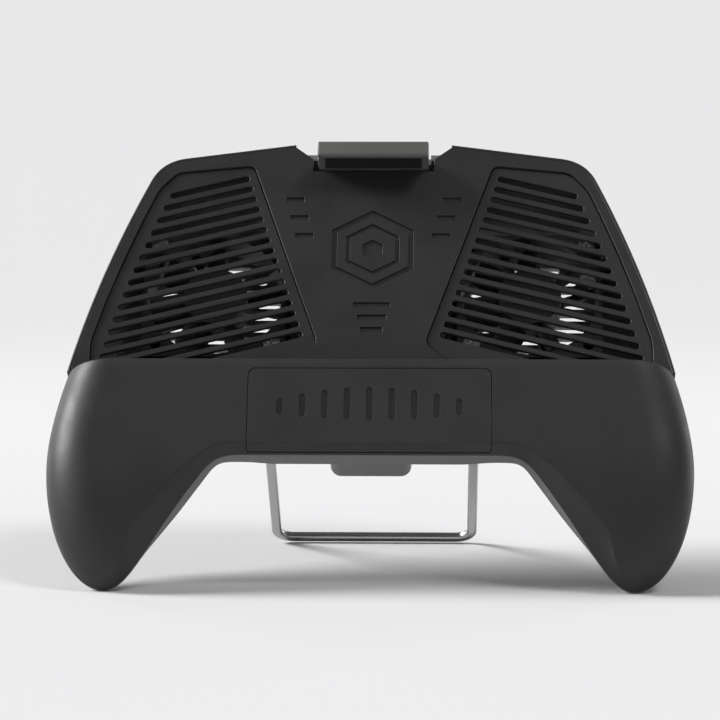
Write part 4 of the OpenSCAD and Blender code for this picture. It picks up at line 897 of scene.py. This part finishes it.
add_piece("hook", hook_mesh, "clamp", "clamp_grey", ["clamp_slider"], crease=30)

# %% Return springs
SPRING_X, SPRING_Z, SPRING_D, SPRING_WIRE, SPRING_TURNS = 16.85, -4.7, 4.0, 0.6, 11
SPRING_Y0, SPRING_Y1 = 15.55, 59.95
SPRING_STEPS, WIRE_STEPS = 36, 10


def coil(x):
    """A helix round a line along y with a round wire. Going round by a, the wire's middle is at radius R and
    climbs evenly; the wire's own angle q adds r cos q to the radius and r sin q to the height."""
    a = np.linspace(0, 2 * math.pi * SPRING_TURNS, SPRING_TURNS * SPRING_STEPS)[:, None]
    q = np.linspace(0, 2 * math.pi, WIRE_STEPS, endpoint=False)[None]
    r = SPRING_WIRE / 2
    radius = SPRING_D / 2 - r + r * np.cos(q) + 0 * a
    climb = SPRING_Y0 + r + (SPRING_Y1 - SPRING_Y0 - 2 * r) * a / a.max() + r * np.sin(q)
    return tube(np.stack([x + radius * np.cos(a), climb, SPRING_Z + radius * np.sin(a)], -1))


spring_mesh = make_mesh("springs", [coil(SPRING_X), coil(-SPRING_X)])
face_outwards(spring_mesh)
springs = add_piece("springs", spring_mesh, "casing", "spring_steel", ["clamp_springs"], crease=60)
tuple(slide["axis"])
stand_up([0, SPRING_Y1, SPRING_Z]).tolist()
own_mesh(springs)

# %% [markdown]
# ## Stand
# The bow is a flat steel bar bent twice, with a round pin pressed into each end. A curve with a bevel
# could give it, but its ends would be cut square. So it is a profile carried along a path: the path is
# the U, and the profile is a rectangle with round edges that always lies across it and shrinks on a
# circle at the ends.

# %% Wire stand
BAR_W, BAR_T, BAR_EDGE, STAND_LEG_X, BEND_R = 2.8, 2.2, 0.45, 28.1, 4.6
PIN_D, PIN_END, PIN_ROUND = 2.2, 34.3, 0.3
floor_reach = BAR_T / 2 * SIN_LEAN + BAR_W / 2 * COS_LEAN
LEG_LEN = HINGE_Z + (SHIFT_Z + HINGE_Y * SIN_LEAN - floor_reach) / COS_LEAN


def bow_path():
    """The U in the plane across the hinge: x, depth, the outward direction across it and the share of its
    thickness that is left, which falls off on a circle at the two ends."""
    end = np.radians(np.linspace(85, 0, 9))
    turn = np.radians(np.linspace(0, 90, 14))
    leg = np.linspace(0, BEND_R - LEG_LEN, 30)[1:-1]
    n_straight = len(end) + len(leg)
    x = np.concatenate([np.full(n_straight, STAND_LEG_X), STAND_LEG_X - BEND_R * (1 - np.cos(turn))])
    z = np.concatenate([BAR_T / 2 * np.sin(end), leg, BEND_R * (1 - np.sin(turn)) - LEG_LEN])
    out = np.concatenate([np.tile([1.0, 0.0], (n_straight, 1)), np.stack([np.cos(turn), -np.sin(turn)], -1)])
    share = np.concatenate([np.cos(end), np.ones(len(leg) + len(turn))])
    both = [np.concatenate([v, w]) for v, w in ((x, -x[::-1]), (z, z[::-1]), (share, share[::-1]))]
    return both[0], both[1], np.concatenate([out, out[::-1] * [-1, 1]]), both[2]


def bow():
    """Carries the rounded rectangle along the U: its width lies across the path, its thickness along y."""
    x, z, out, share = bow_path()
    w, h = BAR_W / 2, BAR_T / 2
    ring = rounded([[w, -h], [w, h], [-w, h], [-w, -h]], 2 * BAR_EDGE)
    across, along = ring[:, 0], ring[:, 1]
    return tube(np.stack([x[:, None] + out[:, :1] * across, HINGE_Y + share[:, None] * along,
                          HINGE_Z + z[:, None] + out[:, 1:] * across], -1))


def pin(side, steps=36):
    """A round pin along x from the leg outwards: a turned profile of lengths and radii with a round end."""
    over = np.radians(np.linspace(0, 80, 6))
    length = np.concatenate([[STAND_LEG_X], PIN_END - PIN_ROUND * (1 - np.sin(over))])
    radius = np.concatenate([[PIN_D / 2], PIN_D / 2 - PIN_ROUND * (1 - np.cos(over))])
    turn = np.linspace(0, 2 * math.pi, steps, endpoint=False)
    rings = np.broadcast_arrays(side * length[:, None], HINGE_Y + radius[:, None] * np.cos(turn),
                                HINGE_Z + radius[:, None] * np.sin(turn))
    return tube(np.stack(rings, -1))


bow_mesh = make_mesh("wire_stand", [bow(), pin(1), pin(-1)])
face_outwards(bow_mesh)
add_piece("wire_stand", bow_mesh, "stand", "stand_steel", ["stand_bail"], crease=40)
print("stand leg", round(LEG_LEN, 2), "mm")

# %% [markdown]
# ## Finishes
# Moulded plastic is not one flat colour: the mould is spark-eroded, so the surface has a fine grain, and
# handling leaves patches that shine a little more. Both could be painted on images, but as node groups
# they stay sharp at any distance, and every material shares them with its own values. Drawn steel gets
# long streaks instead of grain. Colours come from the record's slots.

# %% Shared effects as node groups


def new_group(name, inputs, outputs):
    """An empty shader group with number inputs and outputs."""
    tree = bpy.data.node_groups.new(name, "ShaderNodeTree")
    for label, value in inputs.items():
        socket = tree.interface.new_socket(label, in_out="INPUT", socket_type="NodeSocketFloat")
        socket.default_value = value
    for label in outputs:
        tree.interface.new_socket(label, in_out="OUTPUT", socket_type="NodeSocketFloat")
    return tree, tree.nodes.new("NodeGroupInput"), tree.nodes.new("NodeGroupOutput")


def add_node(tree, kind, links=None, **values):
    """A node with its inputs linked or set by name, and its own settings."""
    node = tree.nodes.new("ShaderNode" + kind)
    for key, value in values.items():
        setattr(node, key, value)
    for key, value in (links or {}).items():
        if isinstance(value, bpy.types.NodeSocket):
            tree.links.new(value, node.inputs[key])
        else:
            node.inputs[key].default_value = value
    return node


def grain_group():
    """Spark-eroded grain: rounded pits about one Grain wide, in millimetres, times a finer noise."""
    tree, given, result = new_group("moulded_grain", {"Grain": 0.4}, ["Height", "Fleck"])
    place = add_node(tree, "TexCoord").outputs["Object"]
    scale = add_node(tree, "Math", {0: 1000.0, 1: given.outputs["Grain"]}, operation="DIVIDE").outputs[0]
    pits = add_node(tree, "TexVoronoi", {"Vector": place, "Scale": scale, "Smoothness": 0.6},
                    feature="SMOOTH_F1")
    fine = add_node(tree, "TexNoise", {"Vector": place, "Scale": scale, "Detail": 3.0, "Roughness": 0.6})
    height = add_node(tree, "Math", {0: pits.outputs["Distance"], 1: fine.outputs[0]}, operation="MULTIPLY")
    tree.links.new(height.outputs[0], result.inputs["Height"])
    tree.links.new(fine.outputs[0], result.inputs["Fleck"])
    return tree


def handling_group():
    """Soft patches from handling, between 0 and 1. Patch is their size in millimetres."""
    tree, given, result = new_group("handling", {"Patch": 18.0}, ["Polish"])
    place = add_node(tree, "TexCoord").outputs["Object"]
    scale = add_node(tree, "Math", {0: 1000.0, 1: given.outputs["Patch"]}, operation="DIVIDE").outputs[0]
    broad = add_node(tree, "TexNoise", {"Vector": place, "Scale": scale, "Detail": 4.0, "Roughness": 0.65})
    soft = add_node(tree, "MapRange", {"Value": broad.outputs[0], "From Min": 0.3, "From Max": 0.7},
                    interpolation_type="SMOOTHSTEP")
    tree.links.new(soft.outputs[0], result.inputs["Polish"])
    return tree


def streak_group():
    """Drawing marks: noise stretched along the deck's depth, which is the way the stand's bar was drawn."""
    tree, given, result = new_group("drawn_streaks", {"Pitch": 0.3}, ["Streak"])
    place = add_node(tree, "TexCoord").outputs["Object"]
    turned = add_node(tree, "Mapping", {"Vector": place, "Rotation": (-LEAN, 0, 0), "Scale": (1, 1, 0.03)})
    scale = add_node(tree, "Math", {0: 1000.0, 1: given.outputs["Pitch"]}, operation="DIVIDE").outputs[0]
    marks = add_node(tree, "TexNoise", {"Vector": turned.outputs[0], "Scale": scale, "Detail": 3.0})
    tree.links.new(marks.outputs[0], result.inputs["Streak"])
    return tree


GRAIN, HANDLING, STREAKS = grain_group(), handling_group(), streak_group()
print("shared effects:", GRAIN.name, HANDLING.name, STREAKS.name)

# %% Kinds of finish
slot_colour = {m["slot"]: m["base_color"] for m in frame["record"]["materials"]}
finishes = {}


def start_finish(slot_name):
    """A material with a Principled shader, kept under its slot's name."""
    made = bpy.data.materials.new(slot_name)
    made.use_nodes = True
    finishes[slot_name] = made
    return made.node_tree, made.node_tree.nodes["Principled BSDF"]


def effect(tree, group, **values):
    """One of the shared groups, placed in a material with its own values."""
    node = tree.nodes.new("ShaderNodeGroup")
    node.node_tree = group
    for key, value in values.items():
        node.inputs[key].default_value = value
    return node


def shades(colour, spread):
    """A darker and a lighter tone of a colour."""
    return [tuple(c * k for c in colour) + (1,) for k in (1 - spread, 1 + spread)]


def finish_surface(slot_name, rough, tone, wear, height, depth, tint, specular=0.5, metal=0.0):
    """Joins varying values to a Principled shader: tone shifts the colour, wear the roughness and height the
    bump."""
    tree, shader = start_finish(slot_name)
    dark, light = shades(slot_colour[slot_name], tint)
    shader.inputs["Metallic"].default_value = metal
    shader.inputs["Specular IOR Level"].default_value = specular
    colour = add_node(tree, "Mix", data_type="RGBA")
    colour.inputs[6].default_value, colour.inputs[7].default_value = dark, light
    tree.links.new(tone(tree), colour.inputs["Factor"])
    tree.links.new(colour.outputs[2], shader.inputs["Base Color"])
    gloss = add_node(tree, "MapRange", {"Value": wear(tree), "To Min": rough[1], "To Max": rough[0]})
    tree.links.new(gloss.outputs[0], shader.inputs["Roughness"])
    bump = add_node(tree, "Bump", {"Height": height(tree), "Distance": depth / 1000, "Strength": 1.0})
    tree.links.new(bump.outputs[0], shader.inputs["Normal"])


def plastic(slot_name, rough=(0.42, 0.55), grain=0.4, depth=0.02, tint=0.15, specular=0.35, patch=18.0):
    """Moulded plastic or rubber: grain in colour and bump, handling in the roughness."""
    finish_surface(slot_name, rough, lambda tree: effect(tree, GRAIN, Grain=grain).outputs["Fleck"],
                   lambda tree: effect(tree, HANDLING, Patch=patch).outputs["Polish"],
                   lambda tree: effect(tree, GRAIN, Grain=grain).outputs["Height"], depth, tint, specular)


def drawn_metal(slot_name, rough=(0.25, 0.4), pitch=0.3, depth=0.004, tint=0.12):
    """Drawn or turned metal: streaks in colour and bump, handling in the roughness."""
    finish_surface(slot_name, rough, lambda tree: effect(tree, STREAKS, Pitch=pitch).outputs["Streak"],
                   lambda tree: effect(tree, HANDLING, Patch=6.0).outputs["Polish"],
                   lambda tree: effect(tree, STREAKS, Pitch=pitch).outputs["Streak"], depth, tint, metal=1.0)


print(len(slot_colour), "slots to finish")

# %% Finishes of the pieces
plastic("shell_black", rough=(0.44, 0.56), grain=0.35, depth=0.035, tint=0.35)
plastic("deck_black", rough=(0.42, 0.54), grain=0.5, depth=0.05, tint=0.3)
plastic("shell_grey", rough=(0.34, 0.46), grain=0.5, depth=0.012, tint=0.08)
plastic("clamp_grey", rough=(0.34, 0.46), grain=0.35, depth=0.006, tint=0.06)
plastic("pad_rubber", rough=(0.75, 0.9), grain=0.6, depth=0.03, specular=0.2)
plastic("inner_black", rough=(0.4, 0.55), grain=0.6, depth=0.01)
plastic("bracket_black", rough=(0.4, 0.52), grain=0.4, depth=0.01)
plastic("battery_wrap", rough=(0.18, 0.32), grain=2.5, depth=0.05, tint=0.1, patch=8.0)
plastic("board_green", rough=(0.3, 0.45), grain=1.2, depth=0.02, tint=0.3, patch=6.0)
plastic("switch_grey", rough=(0.35, 0.5), grain=0.3, depth=0.006, tint=0.06, patch=4.0)
plastic("button_grey", rough=(0.3, 0.45), grain=0.3, depth=0.006, tint=0.08, patch=4.0)
plastic("lead_red", rough=(0.35, 0.5), grain=0.5, depth=0.01, tint=0.1, patch=6.0)
drawn_metal("spring_steel")
drawn_metal("stand_steel", rough=(0.18, 0.28))
drawn_metal("bush_brass", pitch=0.15)
drawn_metal("coil_copper", pitch=0.4, depth=0.05)
node_slot = {row["node"]: row["material_slot"] for row in frame["record"]["subparts"]}
for name, node in frame["nodes"].items():
    node["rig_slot"] = node_slot[name]
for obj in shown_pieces():
    obj.data.materials.clear()
    obj.data.materials.append(finishes[obj["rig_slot"]])

# %% [markdown]
# ## Studio
# The grip stands on a wide pale floor. A plane would end at the horizon, so the floor rises gently far
# away and fills the picture up to the top. The key comes from the upper left, so the outside of the left
# handle carries the broad highlight, and two strips behind draw the thin bright lines along the outer
# edges.

# %% Floor
FLOOR_FLAT, FLOOR_REACH, FLOOR_RISE, FLOOR_RINGS = 2.0, 40.0, 6.0, 24
PAPER = (0.64, 0.64, 0.65, 1)


def dish(turns=64):
    """The floor as rings round the origin: flat in the middle, then rising with the square of the way out."""
    r = np.concatenate([[0], np.geomspace(FLOOR_FLAT, FLOOR_REACH, FLOOR_RINGS)])[:, None]
    a = np.linspace(0, 2 * math.pi, turns, endpoint=False)[None]
    z = FLOOR_RISE * ((r - FLOOR_FLAT).clip(0) / (FLOOR_REACH - FLOOR_FLAT)) ** 2 + 0 * a
    points = np.stack([r * np.cos(a), r * np.sin(a), z], -1).reshape(-1, 3)
    return points, grid_faces(len(r), turns, wrap_cols=True)


floor_points, floor_faces = dish()
floor_mesh = bpy.data.meshes.new("floor")
floor_mesh.from_pydata(floor_points.tolist(), [], floor_faces.tolist())
floor_mesh.polygons.foreach_set("use_smooth", np.ones(len(floor_mesh.polygons), bool))
weld(floor_mesh)
face_outwards(floor_mesh)
floor = bpy.data.objects.new("floor", floor_mesh)
scene.collection.objects.link(floor)
paper = bpy.data.materials.new("pale_paper")
paper.use_nodes = True
paper_shader = paper.node_tree.nodes["Principled BSDF"]
paper_shader.inputs["Base Color"].default_value = PAPER
paper_shader.inputs["Roughness"].default_value = 0.9
paper_shader.inputs["Specular IOR Level"].default_value = 0.1
floor_mesh.materials.append(paper)
print("floor", len(floor_mesh.polygons), "faces")

# %% Lamps
MIDDLE = (0, 0, 0.05)
SKY_LIGHT = 0.2


def area_light(name, place, size, watts):
    """A rectangular lamp that faces the middle of the grip, itself unseen. Places are in metres."""
    lamp = bpy.data.lights.new(name, "AREA")
    lamp.shape = "RECTANGLE"
    lamp.size, lamp.size_y = size
    lamp.energy = watts
    obj = bpy.data.objects.new(name, lamp)
    scene.collection.objects.link(obj)
    way = np.asarray(MIDDLE, float) - place
    obj.location = place
    obj.visible_camera = False
    obj.rotation_euler = (math.atan2(math.hypot(way[0], way[1]), -way[2]), 0, math.atan2(-way[0], way[1]))


def sun_light(name, turn, strength, spread):
    """A distant lamp, which lights the whole floor evenly; its spread softens the shadows."""
    lamp = bpy.data.lights.new(name, "SUN")
    lamp.energy, lamp.angle = strength, math.radians(spread)
    obj = bpy.data.objects.new(name, lamp)
    scene.collection.objects.link(obj)
    obj.rotation_euler = [math.radians(a) for a in turn]


sun_light("key", turn=(-7.5, -55.9, 0), strength=4.6, spread=24)
sun_light("right_fill", turn=(13.9, 29.7, 0), strength=0.95, spread=20)
area_light("low_fill", place=(0, -0.55, 0.06), size=(0.6, 0.1), watts=0.1)
for name, side in (("left_strip", -1), ("right_strip", 1)):
    area_light(name, place=(0.45 * side, 0.4, 0.2), size=(0.1, 0.6), watts=0.6)
sky = bpy.data.worlds.new("sky")
sky.use_nodes = True
sky.node_tree.nodes["Background"].inputs["Color"].default_value = (1, 1, 1, 1)
sky.node_tree.nodes["Background"].inputs["Strength"].default_value = SKY_LIGHT
scene.world = sky
print(len(bpy.data.lights), "lamps and a dim white sky")

# %% Camera
VIEW_FROM, VIEW_TILT, VIEW_YAW, VIEW_ANGLE = [19, -449.3, 739.8], 31.5, 1.453, 12.84
lens = bpy.data.cameras.new("camera")
lens.angle = math.radians(VIEW_ANGLE)
camera = bpy.data.objects.new("camera", lens)
camera.location = stand_up(VIEW_FROM)
camera.rotation_euler = (LEAN + math.radians(VIEW_TILT), 0, math.radians(VIEW_YAW))
scene.collection.objects.link(camera)
scene.camera = camera
scene.view_settings.view_transform = "Standard"
print("camera at", [round(c, 3) for c in camera.location], "m")
